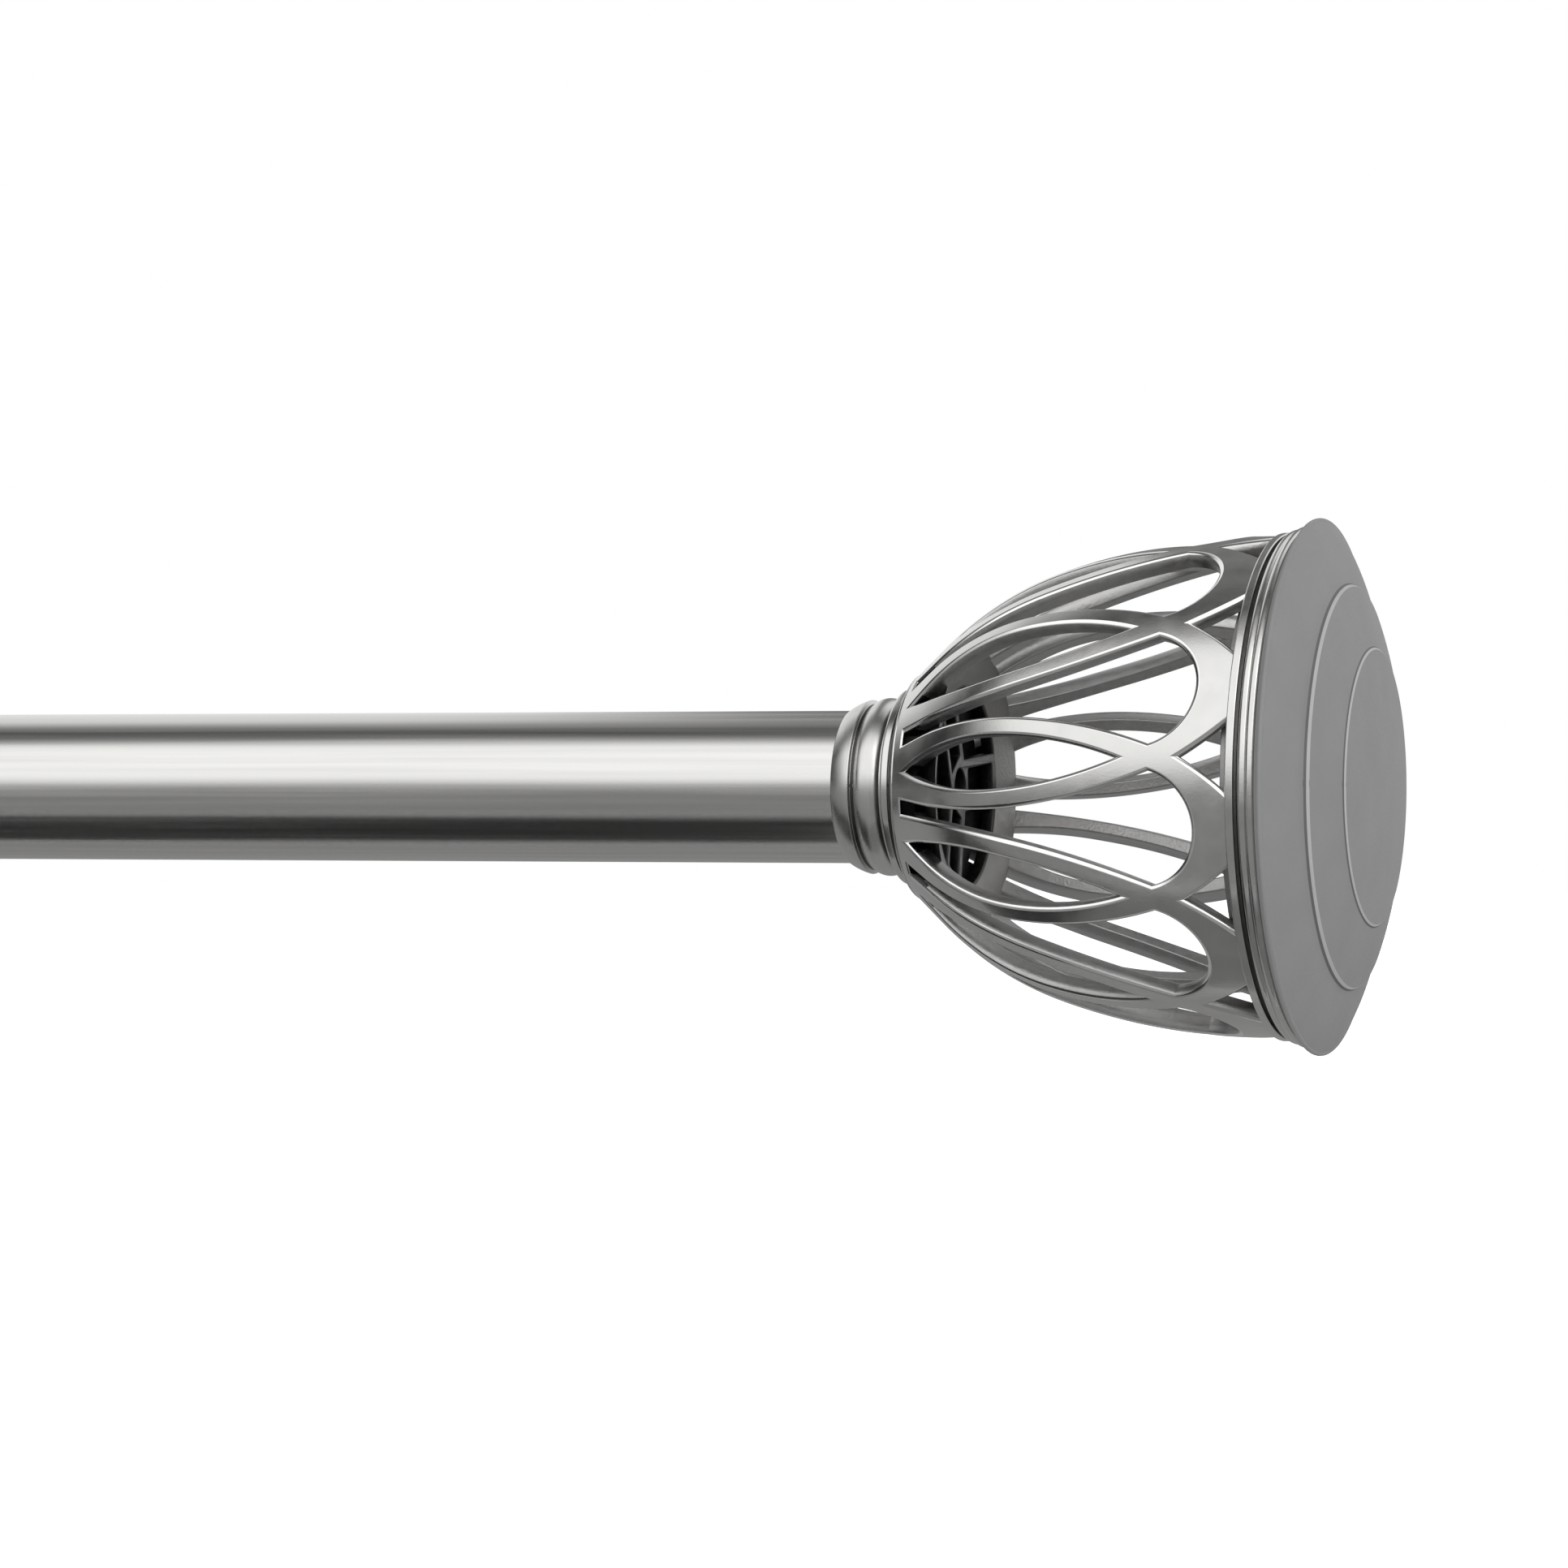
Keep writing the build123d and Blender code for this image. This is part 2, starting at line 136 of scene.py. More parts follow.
# End plate and pad
GAP_WIDTH = 0.8
GAP_R = 38.9
BEAD_WIDTH = 1.35
BEAD_1_R = 41.4
BEAD_2_R = 41.9
BEAD_CROWN = 0.35
PLATE_THICKNESS = 1.8
PLATE_SPIGOT = 3.0
PLATE_SPIGOT_R = 37.6
PLATE_SPIGOT_WALL = 2.0
BUTTON_HOLE_R = 5.0
PAD_BACK_R = 42.0
PAD_RIM = ((0.8, 43.2), (1.2, 43.5), (1.6, 43.0))
PAD_STEP_1 = ((5.7, 32.95), (6.6, 32.45))
PAD_STEP_2 = ((9.6, 22.75), (10.1, 22.25))
PAD_SKIRT_BOW = 0.4
PAD_TERRACE_BOW = 0.2
PAD_CROWN_BOW = 0.17
PAD_FLAT_R = 6.0
PAD_HEIGHT = 11.3

# Wall of the tubes
TUBE_WALL = 0.7

# Rounded edges of the turned and moulded pieces
SOFT_SEGMENTS = 3
SOFT_ANGLE = math.radians(35)
PAD_SOFT_ANGLE = math.radians(20)
PAD_EDGE = 0.25
TUBE_EDGE = 0.15

# Spring on the lock's stem, in millimetres and steps
SPRING_WIRE_R = 0.8
SPRING_COIL_R = 6.6
SPRING_TURNS = 8
SPRING_WIRE_SIDES = 12
SPRING_STEPS_A_TURN = 32

# Fineness of round and curved stretches, in steps
LATHE_STEPS = 192
HUB_STEPS = 64
RIM_STEPS = 96
COLLAR_BEAD_1_STEPS = 10
COLLAR_BEAD_2_STEPS = 16
FOOT_ROUND_STEPS = 6
PLATE_BEAD_STEPS = 8
PAD_RIM_STEPS = 10
PAD_SKIRT_STEPS = 16
PAD_TERRACE_STEPS = 14
PAD_CROWN_STEPS = 16
LENS_STEPS = (18, 22)
ARROW_STEPS = 10
SLOT_END_STEPS = 16
SLOT_SIDE_STEPS = 40
SLOT_FOOT_STEPS = 3
INNER_ROUND_STEPS = 3
NECK_EDGE_STEPS = 8
HUB_HOLE_STEPS = 48
WEB_POCKET_STEPS = 24
POCKET_CORNER_STEPS = 4
TUBE_STEPS = 40

LENS_LEAD_STEPS = 4
ARROW_LEAD_STEPS = 6
RING_LEAD_STEPS = 6
SLOT_LEAD_STEPS = 5
WEB_EDGE_STEPS = 2

# Skin of the lattice: gap between its own points and its outline, as a share of a step
SKIN_CLEARANCE = 0.45

# Points of the lattice that fall on the same spot of a grid, with so many spots in a millimetre, are one
WELD_GRID = 200

# Radii, steps and squared lengths below these count as nothing, and points closer than the last are one
NO_RADIUS = 1e-6
NO_STEP = 1e-9
NO_SQUARE = 1e-12
MERGE_DISTANCE = 1e-6

# Faces of the web that look along the rod by more than this share are its front
FRONT_SHARE = 0.5

# Worked out
BELLY_RUN = BELLY_RADIUS * math.sin(BELLY_TURN)
SHOULDER_RUN = SHOULDER_RADIUS * (math.sin(WHOLE_TURN) - math.sin(BELLY_TURN))
CONE_RUN = CONE_LENGTH * math.cos(WHOLE_TURN)
NECK_END = COLLAR_LENGTH + NECK_LENGTH
RING_START = NECK_END + CONE_RUN + SHOULDER_RUN + BELLY_RUN + BELL_STRAIGHT
CAGE_END = RING_START + RING_WIDTH
BEAD_START = CAGE_END + GAP_WIDTH
PLATE_FRONT = BEAD_START + 2 * BEAD_WIDTH
BELLY_CENTRE = (RING_START - BELL_STRAIGHT, BELL_MOUTH_R - BELLY_RADIUS)
SHOULDER_CENTRE = (
    BELLY_CENTRE[0] - (BELLY_RADIUS - SHOULDER_RADIUS) * math.sin(BELLY_TURN),
    BELLY_CENTRE[1] + (BELLY_RADIUS - SHOULDER_RADIUS) * math.cos(BELLY_TURN),
)
HALF_PITCH = math.pi / HOOP_COUNT

RIGHT_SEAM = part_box("right_collar")[0][0]
LEFT_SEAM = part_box("left_collar")[1][0]
PLACES = {
    "right": Matrix.Translation((RIGHT_SEAM, 0, 0)) @ Matrix.Scale(MM, 4),
    "left": Matrix.Translation((LEFT_SEAM, 0, 0)) @ Matrix.Rotation(math.pi, 4, "Z") @ Matrix.Scale(MM, 4),
}
BODIES = {"right": "outer_rod", "left": "inner_rod"}

# Noise of the finishes, over the object's own coordinates in metres: scale, detail and stretch along the axes
EVEN = (1, 1, 1)
DRAWN_STREAKS = (900, 3, (0.012, 1, 1))
DRAWN_GRAIN = (4000, 2, EVEN)
CAST_MOTTLE = (260, 5, EVEN)
CAST_GRAIN = (2600, 3, EVEN)
EDGE_MOTTLE = (400, 4, EVEN)
TURNED_LINES = (2200, 3, (1, 0.05, 0.05))
TURNED_MOTTLE = (300, 4, EVEN)
ROUGH_MOTTLE = (700, 6, EVEN)
ROUGH_GRAIN = (2200, 4, EVEN)
ZINC_MOTTLE = (800, 4, EVEN)
RUBBER_MOTTLE = (120, 6, EVEN)
RUBBER_GRAIN = (3000, 2, EVEN)
PLASTIC_MOTTLE = (300, 4, EVEN)
PLASTIC_GRAIN = (2500, 2, EVEN)

# Part of a noise's range that is spread over a finish's own range
NOISE_LOW = 0.3
NOISE_HIGH = 0.7

# Depth of the fine relief, in metres
FINE_RELIEF = 0.000004
SATIN_RELIEF = 0.000008
MOULD_RELIEF = 0.00001
PITTED_RELIEF = 0.00004
INNER_RELIEF = 0.00006

# Roughness of finishes that several materials share
CASTING_ROUGHNESS = (0.30, 0.45)
RUBBER_ROUGHNESS = (0.55, 0.7)
RUBBER_SPECULAR = 0.25


# Materials

def new_material(name):
    material = bpy.data.materials.new(name)
    material.use_nodes = True
    tree = material.node_tree
    return material, tree.nodes, tree.links, tree.nodes["Principled BSDF"]


def noise(nodes, links, coords, kind):
    """Noise of a kind, as one of the rows above gives it."""
    scale, detail, stretch = kind
    mapping = nodes.new("ShaderNodeMapping")
    mapping.inputs["Scale"].default_value = stretch
    links.new(coords, mapping.inputs["Vector"])
    texture = nodes.new("ShaderNodeTexNoise")
    texture.inputs["Scale"].default_value = scale
    texture.inputs["Detail"].default_value = detail
    links.new(mapping.outputs["Vector"], texture.inputs["Vector"])
    return texture.outputs["Fac"]


def ramp(nodes, links, value, low, high, low_at=NOISE_LOW, high_at=NOISE_HIGH):
    """Value spread between two levels."""
    node = nodes.new("ShaderNodeMapRange")
    node.inputs["From Min"].default_value = low_at
    node.inputs["From Max"].default_value = high_at
    node.inputs["To Min"].default_value = low
    node.inputs["To Max"].default_value = high
    links.new(value, node.inputs["Value"])
    return node.outputs["Result"]


def tint(nodes, links, value, dark, light):
    """Value as a blend of two colours."""
    node = nodes.new("ShaderNodeMix")
    node.data_type = "RGBA"
    node.inputs["A"].default_value = (*dark, 1)
    node.inputs["B"].default_value = (*light, 1)
    links.new(value, node.inputs["Factor"])
    return node.outputs["Result"]


def bump(nodes, links, height, shader, distance):
    node = nodes.new("ShaderNodeBump")
    node.inputs["Distance"].default_value = distance
    node.inputs["Strength"].default_value = 1.0
    links.new(height, node.inputs["Height"])
    links.new(node.outputs["Normal"], shader.inputs["Normal"])


def finish(name, dark, light, rough, colour_noise, rough_noise, relief_noise=None, relief=0.0):
    """Material with two blended colours, a range of roughness and a fine relief; returns its shader too."""
    material, nodes, links, shader = new_material(name)
    coords = nodes.new("ShaderNodeTexCoord").outputs["Object"]
    colour = tint(nodes, links, noise(nodes, links, coords, colour_noise), dark, light)
    links.new(colour, shader.inputs["Base Color"])
    roughness = ramp(nodes, links, noise(nodes, links, coords, rough_noise), *rough)
    links.new(roughness, shader.inputs["Roughness"])
    if relief_noise:
        bump(nodes, links, noise(nodes, links, coords, relief_noise), shader, relief)
    return material, shader


def metal(*looks):
    material, shader = finish(*looks)
    shader.inputs["Metallic"].default_value = 1
    return material


def rough_nickel(name, dark, light, relief=PITTED_RELIEF):
    """Unpolished side of the casting, rough and pitted; its darkest versions stand for painted shade."""
    return metal(name, dark, light, CASTING_ROUGHNESS, ROUGH_MOTTLE, ROUGH_MOTTLE, ROUGH_GRAIN, relief)


def grey_rubber(name, dark, light):
    """Matte moulded rubber with a faint mottle."""
    material, shader = finish(
        name, (dark, dark, dark), (light, light, light), RUBBER_ROUGHNESS,
        RUBBER_MOTTLE, RUBBER_GRAIN, RUBBER_GRAIN, MOULD_RELIEF,
    )
    shader.inputs["Specular IOR Level"].default_value = RUBBER_SPECULAR
    return material


def moulded_plastic(*looks):
    material, _ = finish(*looks, PLASTIC_MOTTLE, PLASTIC_GRAIN, PLASTIC_GRAIN, MOULD_RELIEF)
    return material


# Tube, drawn lengthwise: fine streaks along X
BRUSHED = metal(
    "brushed_nickel", (0.52, 0.515, 0.505), (0.76, 0.755, 0.74), (0.17, 0.27),
    DRAWN_STREAKS, DRAWN_STREAKS, DRAWN_GRAIN, FINE_RELIEF,
)
# Plate on the casting: soft mottling and a fine grain
CAST = metal(
    "cast_nickel", (0.55, 0.545, 0.535), (0.69, 0.685, 0.67), (0.17, 0.26),
    CAST_MOTTLE, CAST_MOTTLE, CAST_GRAIN, SATIN_RELIEF,
)
# Bevels on the window edges of the casting: lighter, smoother metal as a painted highlight
BEVEL_HIGHLIGHT = metal(
    "bevel_highlight_nickel", (0.76, 0.755, 0.745), (0.88, 0.875, 0.865), (0.12, 0.18),
    EDGE_MOTTLE, EDGE_MOTTLE,
)
# Turned collar: softer than the cage, with fine lines round it
TURNED = metal(
    "turned_nickel", (0.56, 0.555, 0.545), (0.70, 0.695, 0.68), (0.25, 0.35),
    TURNED_LINES, TURNED_MOTTLE, TURNED_LINES, FINE_RELIEF,
)
ROUGH = rough_nickel("rough_nickel", (0.44, 0.435, 0.43), (0.68, 0.675, 0.67), INNER_RELIEF)
WALLS = rough_nickel("wall_nickel", (0.42, 0.415, 0.41), (0.58, 0.575, 0.57))
# Dark grey nickel: painted shade on the front of the web's rim and in the gap behind the end plate's beads
WEB = rough_nickel("web_painted_shade", (0.25, 0.245, 0.24), (0.36, 0.355, 0.35))
# Very dark nickel: painted shade on the front of the web's arms inside the cage
ARMS_SHADE = rough_nickel("arm_painted_shade", (0.07, 0.069, 0.068), (0.12, 0.118, 0.116))
# Near-black nickel: painted shade in the collar's bore and groove, inside the neck, on the hub, on the web's
# back and on the lattice behind the web
PAINTED_SHADE = rough_nickel("painted_shade_nickel", (0.04, 0.04, 0.04), (0.09, 0.09, 0.088))
RUBBER = grey_rubber("grey_rubber", 0.235, 0.275)
# Lighter rubber on the risers' crowns is a painted highlight; the darker rubber at their feet is painted
# shade
RUBBER_HIGHLIGHT = grey_rubber("rubber_painted_highlight", 0.42, 0.48)
RUBBER_SHADE = grey_rubber("rubber_painted_shade", 0.12, 0.15)
BLACK = moulded_plastic("black_plastic", (0.012, 0.012, 0.012), (0.03, 0.03, 0.03), (0.39, 0.51))
NYLON = moulded_plastic("white_nylon", (0.66, 0.65, 0.61), (0.78, 0.77, 0.73), (0.44, 0.56))
# Bright zinc on small steel pieces
ZINC = metal(
    "zinc_plate", (0.50, 0.51, 0.53), (0.62, 0.63, 0.65), (0.28, 0.42),
    ZINC_MOTTLE, ZINC_MOTTLE, ZINC_MOTTLE, MOULD_RELIEF,
)


# Shapes

def circle_through(a, b, c):
    """Centre and radius of the circle through three points."""
    d = 2 * (a[0] * (b[1] - c[1]) + b[0] * (c[1] - a[1]) + c[0] * (a[1] - b[1]))
    a2, b2, c2 = a[0] ** 2 + a[1] ** 2, b[0] ** 2 + b[1] ** 2, c[0] ** 2 + c[1] ** 2
    x = (a2 * (b[1] - c[1]) + b2 * (c[1] - a[1]) + c2 * (a[1] - b[1])) / d
    y = (a2 * (c[0] - b[0]) + b2 * (a[0] - c[0]) + c2 * (b[0] - a[0])) / d
    return (x, y), math.hypot(a[0] - x, a[1] - y)


def arc(start, middle, end, steps):
    """Points of the arc through three points, the first left out."""
    centre, radius = circle_through(start, middle, end)
    first, by_way, last = [math.atan2(p[1] - centre[1], p[0] - centre[0]) for p in (start, middle, end)]
    turn = (last - first) % math.tau
    if (by_way - first) % math.tau > turn:
        turn -= math.tau
    angles = [first + turn * i / steps for i in range(1, steps + 1)]
    return [(centre[0] + radius * math.cos(angle), centre[1] + radius * math.sin(angle)) for angle in angles]


def bowed(start, end, bow, steps):
    """Arc between two points that bows to the left of the way from one to the other."""
    mx, my = (start[0] + end[0]) / 2, (start[1] + end[1]) / 2
    length = math.hypot(end[0] - start[0], end[1] - start[1])
    nx, ny = -(end[1] - start[1]) / length, (end[0] - start[0]) / length
    return arc(start, (mx + nx * bow, my + ny * bow), end, steps)


def lathe_mesh(name, profile, steps=LATHE_STEPS, slot_of=None):
    """Closed ring of a profile of (station, radius) points turned about the station axis.

    slot_of gives the material slot of the stretch between two points of the profile.
    """
    verts, rings = [], []
    for station, radius in profile:
        if radius < NO_RADIUS:
            rings.append([len(verts)] * steps)
            verts.append((station, 0, 0))
            continue
        rings.append(list(range(len(verts), len(verts) + steps)))
        for i in range(steps):
            angle = math.tau * i / steps
            verts.append((station, -radius * math.cos(angle), -radius * math.sin(angle)))
    faces, slots = [], []
    stretches = zip(profile, profile[1:] + profile[:1])
    for (start, end), ring_a, ring_b in zip(stretches, rings, rings[1:] + rings[:1]):
        slot = slot_of(start, end) if slot_of else 0
        for i in range(steps):
            j = (i + 1) % steps
            corners = list(dict.fromkeys((ring_a[i], ring_a[j], ring_b[j], ring_b[i])))
            if len(corners) > 2:
                faces.append(corners)
                slots.append(slot)
    mesh = bpy.data.meshes.new(name)
    mesh.from_pydata(verts, [], faces)
    mesh.polygons.foreach_set("material_index", slots)
    return mesh


def add_piece(name, mesh, place, body, materials, node=None):
    """Object from a mesh in millimetres, put at its place and riding on its body."""
    mesh = mesh.copy()
    mesh.transform(place)
    obj = bpy.data.objects.new(name, mesh)
    bpy.context.scene.collection.objects.link(obj)
    for material in materials:
        mesh.materials.append(material)
    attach(obj, body)
    if node:
        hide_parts(node)
    return obj


def soften(obj, width, angle=SOFT_ANGLE):
    """Small rounded edges that catch the light."""
    obj.data.shade_smooth()
    modifier = obj.modifiers.new("edges", "BEVEL")
    modifier.width = width * MM
    modifier.segments = SOFT_SEGMENTS
    modifier.limit_method = "ANGLE"
    modifier.angle_limit = angle
    modifier.harden_normals = True
    obj.data.set_sharp_from_angle(angle=angle)


def collar_profile():
    lip = (0, COLLAR_LIP_R)
    groove_a, groove_b = [(station, COLLAR_GROOVE_R) for station in COLLAR_GROOVE]
    points = [(0, COLLAR_BORE_R), lip]
    points += bowed(lip, COLLAR_BEAD_1, COLLAR_BEAD_1_BOW, COLLAR_BEAD_1_STEPS)
    points += [groove_a, groove_b]
    points += arc(groove_b, COLLAR_BEAD_2, COLLAR_TAIL, COLLAR_BEAD_2_STEPS)
    points += [(COLLAR_LENGTH, COLLAR_TAIL[1]), (COLLAR_LENGTH, COLLAR_BORE_R)]
    return points


def neck_profile():
    """Foot ring, groove, band and edge ring of the cage's neck."""
    neck_r = bell_radius(NECK_END, 0)
    foot_r = neck_r - FOOT_INSET
    foot_end = COLLAR_LENGTH + FOOT_WIDTH
    groove_end = foot_end + GROOVE_WIDTH
    edge_start = NECK_END - EDGE_WIDTH
    round_start = (COLLAR_LENGTH, foot_r - FOOT_ROUND)
    round_end = (COLLAR_LENGTH + FOOT_ROUND, foot_r)
    points = [(COLLAR_LENGTH, NECK_BORE_R), round_start]
    points += bowed(round_start, round_end, FOOT_ROUND * (1 - math.sqrt(0.5)), FOOT_ROUND_STEPS)
    points += [(foot_end, foot_r), (foot_end, foot_r - GROOVE_DEPTH), (groove_end, foot_r - GROOVE_DEPTH)]
    points += [(groove_end, neck_r - BAND_INSET), (edge_start, neck_r - BAND_INSET)]
    points += [(edge_start, neck_r), (NECK_END, neck_r), (NECK_END, NECK_BORE_R)]
    return points


def ring_profile():
    outer = BELL_MOUTH_R + RING_HEIGHT
    inner = BELL_MOUTH_R - BELL_WALL
    return [(RING_START, inner), (RING_START, outer), (CAGE_END, outer), (CAGE_END, inner)]


def plate_profile():
    middle = BEAD_START + BEAD_WIDTH
    points = [(CAGE_END, GAP_R), (BEAD_START, GAP_R), (BEAD_START, BEAD_1_R)]
    points += bowed(points[-1], (middle, BEAD_1_R), BEAD_CROWN, PLATE_BEAD_STEPS)
    points += [(middle, BEAD_2_R)]
    points += bowed(points[-1], (PLATE_FRONT, BEAD_2_R), BEAD_CROWN, PLATE_BEAD_STEPS)
    points += [
        (PLATE_FRONT, BUTTON_HOLE_R),
        (PLATE_FRONT - PLATE_THICKNESS, BUTTON_HOLE_R),
        (PLATE_FRONT - PLATE_THICKNESS, PLATE_SPIGOT_R - PLATE_SPIGOT_WALL),
        (CAGE_END - PLATE_SPIGOT, PLATE_SPIGOT_R - PLATE_SPIGOT_WALL),
        (CAGE_END - PLATE_SPIGOT, PLATE_SPIGOT_R),
        (CAGE_END, PLATE_SPIGOT_R),
    ]
    return points


def riser_middle(step):
    """Middle of a pad step's riser, where the painted shade of its foot meets the painted highlight of its
    crown.
    """
    (foot_at, foot_r), (crown_at, crown_r) = step
    return (foot_at + crown_at) / 2, (foot_r + crown_r) / 2


def pad_profile():
    def out(point):
        return PLATE_FRONT + point[0], point[1]

    points = [(PLATE_FRONT, 0), (PLATE_FRONT, PAD_BACK_R), out(PAD_RIM[0])]
    points += arc(*[out(point) for point in PAD_RIM], PAD_RIM_STEPS)
    points += bowed(points[-1], out(PAD_STEP_1[0]), PAD_SKIRT_BOW, PAD_SKIRT_STEPS)
    points += [out(riser_middle(PAD_STEP_1)), out(PAD_STEP_1[1])]
    points += bowed(points[-1], out(PAD_STEP_2[0]), PAD_TERRACE_BOW, PAD_TERRACE_STEPS)
    points += [out(riser_middle(PAD_STEP_2)), out(PAD_STEP_2[1])]
    points += bowed(points[-1], out((PAD_HEIGHT, PAD_FLAT_R)), PAD_CROWN_BOW, PAD_CROWN_STEPS)
    points += [out((PAD_HEIGHT, 0))]
    return points


def collar_slot(start, end):
    """Painted shade on the collar's front, in its bore and on the floor of its groove."""
    in_groove = start[1] == end[1] == COLLAR_GROOVE_R
    return 1 if in_groove or min(start[1], end[1]) <= COLLAR_BORE_R else 0


def neck_slot(start, end):
    """Painted shade inside the cage's neck and on the floor of its groove."""
    groove_r = bell_radius(NECK_END, 0) - FOOT_INSET - GROOVE_DEPTH
    in_groove = start[1] == end[1] == groove_r
    return 1 if in_groove or min(start[1], end[1]) <= NECK_BORE_R else 0


def plate_slot(start, end):
    """Painted shade in the shadow gap behind the beads."""
    in_gap = max(start[0], end[0]) <= BEAD_START and min(start[1], end[1]) <= GAP_R
    return 1 if in_gap else 0


def rim_slot(start, end):
    """Darker painted shade all round the web's rim but on its front side, which has a lighter painted shade.
    """
    on_front = start[0] == NECK_END + WEB_AT_RING and end[0] == NECK_END + WEB_AT_WALL
    return 0 if on_front else 1


def pad_slot(start, end):
    """Painted highlight on the crown of each riser, and painted shade in the crease at its foot."""
    for step in (PAD_STEP_1, PAD_STEP_2):
        middle_r = riser_middle(step)[1]
        if start[1] == middle_r:
            return 1
        if end[1] == middle_r:
            return 2
    return 0


# Lattice of the cage

def bell_stretch(station, depth):
    """Centre and radius of the bell's arc at a station, or None on its cone and its straight mouth."""
    if station >= BELLY_CENTRE[0]:
        return None
    if station >= BELLY_CENTRE[0] - (BELLY_RADIUS - depth) * math.sin(BELLY_TURN):
        return BELLY_CENTRE, BELLY_RADIUS - depth
    if station >= SHOULDER_CENTRE[0] - (SHOULDER_RADIUS - depth) * math.sin(WHOLE_TURN):
        return SHOULDER_CENTRE, SHOULDER_RADIUS - depth
    return None


def bell_radius(station, depth):
    """Radius of the bell at a station, at a depth below its outer side."""
    stretch = bell_stretch(station, depth)
    if stretch:
        centre, radius = stretch
        return centre[1] + math.sqrt(radius ** 2 - (station - centre[0]) ** 2)
    if station >= BELLY_CENTRE[0]:
        return BELL_MOUTH_R - depth
    top = SHOULDER_CENTRE[0] - SHOULDER_RADIUS * math.sin(WHOLE_TURN)
    top_r = SHOULDER_CENTRE[1] + SHOULDER_RADIUS * math.cos(WHOLE_TURN)
    return top_r + (station - top) * math.tan(WHOLE_TURN) - depth / math.cos(WHOLE_TURN)


def bell_normal(station, depth, angle):
    """Outward direction of the bell's surface."""
    stretch = bell_stretch(station, depth)
    if stretch:
        along, out = station - stretch[0][0], bell_radius(station, depth) - stretch[0][1]
    elif station >= BELLY_CENTRE[0]:
        along, out = 0.0, 1.0
    else:
        along, out = -math.sin(WHOLE_TURN), math.cos(WHOLE_TURN)
    return Vector((along, -out * math.cos(angle), -out * math.sin(angle))).normalized()


def lean_at(station):
    """Way of a window's wall along the rod for each millimetre of depth: it stands square on the bell."""
    if station >= RING_START - BELL_STRAIGHT:
        return 0.0
    middle = bell_normal(station, BELL_WALL / 2, 0)
    return -middle.x


def meet(centre_a, radius_a, centre_b, radius_b, near):
    """Crossing of two circles that lies nearest a point."""
    dx, dy = centre_b[0] - centre_a[0], centre_b[1] - centre_a[1]
    gap = math.hypot(dx, dy)
    along = (radius_a ** 2 - radius_b ** 2 + gap ** 2) / (2 * gap)
    across = math.sqrt(max(radius_a ** 2 - along ** 2, 0))
    foot = (centre_a[0] + along * dx / gap, centre_a[1] + along * dy / gap)
    options = [(foot[0] + k * across * dy / gap, foot[1] - k * across * dx / gap) for k in (-1, 1)]
    return min(options, key=lambda p: math.hypot(p[0] - near[0], p[1] - near[1]))


def stretch_of(centre, radius, start, end, steps, sign):
    """Points on a circle from start to end, each with the way into the window."""
    first = math.atan2(start[1] - centre[1], start[0] - centre[0])
    turn = math.atan2(end[1] - centre[1], end[0] - centre[0]) - first
    turn = (turn + math.pi) % math.tau - math.pi
    points = []
    for i in range(steps + 1):
        angle = first + turn * i / steps
        ux, uy = math.cos(angle), math.sin(angle)
        points.append(((centre[0] + radius * ux, centre[1] + radius * uy), (sign * ux, sign * uy)))
    return points


def lens_outline(grow):
    """Half of the pointed window, from its first tip to its last, as stretches of points."""
    widest = (NECK_END + LENS_WIDEST, LENS_HALF + grow)
    stretches = []
    for tip in (NECK_END + LENS_START, NECK_END + LENS_END):
        run = abs(widest[0] - tip)
        radius = (run ** 2 + LENS_HALF ** 2) / (2 * LENS_HALF) + grow
        centre = (widest[0], widest[1] - radius)
        reach = math.copysign(math.sqrt(radius ** 2 - centre[1] ** 2), tip - widest[0])
        stretches.append((centre, radius, (widest[0] + reach, 0)))
    (centre_a, radius_a, tip_a), (centre_b, radius_b, tip_b) = stretches
    first = stretch_of(centre_a, radius_a, tip_a, widest, LENS_STEPS[0], -1)
    second = stretch_of(centre_b, radius_b, widest, tip_b, LENS_STEPS[1], -1)
    return [first + second[1:]]


def arrow_outline(grow):
    """Half of the arrow window, from its tip to the ring."""
    tip = (NECK_END + ARROW_START, 0)
    end = (RING_START, ARROW_HALF)
    middle = ((tip[0] + end[0]) / 2 + ARROW_BOW, ARROW_HALF / 2 - ARROW_BOW)
    centre, radius = circle_through(tip, middle, end)
    out = ((tip[0] - centre[0]) / radius, (tip[1] - centre[1]) / radius)
    radius -= grow
    near = (centre[0] + radius * out[0], centre[1] + radius * out[1])
    tip = (near[0] + near[1] * out[1] / out[0], 0)
    stop = RING_START + LATTICE_TUCK
    rise = math.sqrt(radius ** 2 - (stop - centre[0]) ** 2)
    end = (stop, centre[1] - rise)
    return [[(tip, out)] + stretch_of(centre, radius, near, end, ARROW_STEPS, 1)]


def slot_outline(grow):
    """Half of the long window inside a hoop, from its round end to its root."""
    corner = (NECK_END + SLOT_CORNER, SLOT_CORNER_HALF)
    bend = (NECK_END + SLOT_BEND, SLOT_BEND_HALF)
    root_at = NECK_END + SLOT_START
    end_centre, end_radius = circle_through(corner, (NECK_END + SLOT_END, 0), (corner[0], -corner[1]))
    side_centre, side_radius = circle_through((root_at, SLOT_START_HALF), bend, corner)
    end_radius += grow
    side_radius -= grow
    corner = meet(end_centre, end_radius, side_centre, side_radius, corner)
    root = (root_at, side_centre[1] - math.sqrt(side_radius ** 2 - (root_at - side_centre[0]) ** 2))
    top = (end_centre[0] + end_radius, 0)
    round_end = stretch_of(end_centre, end_radius, top, corner, SLOT_END_STEPS, -1)
    side = stretch_of(side_centre, side_radius, corner, root, SLOT_SIDE_STEPS, 1)
    foot = [((root_at, root[1] * (1 - i / SLOT_FOOT_STEPS)), (1, 0)) for i in range(SLOT_FOOT_STEPS + 1)]
    return [round_end, side, foot]


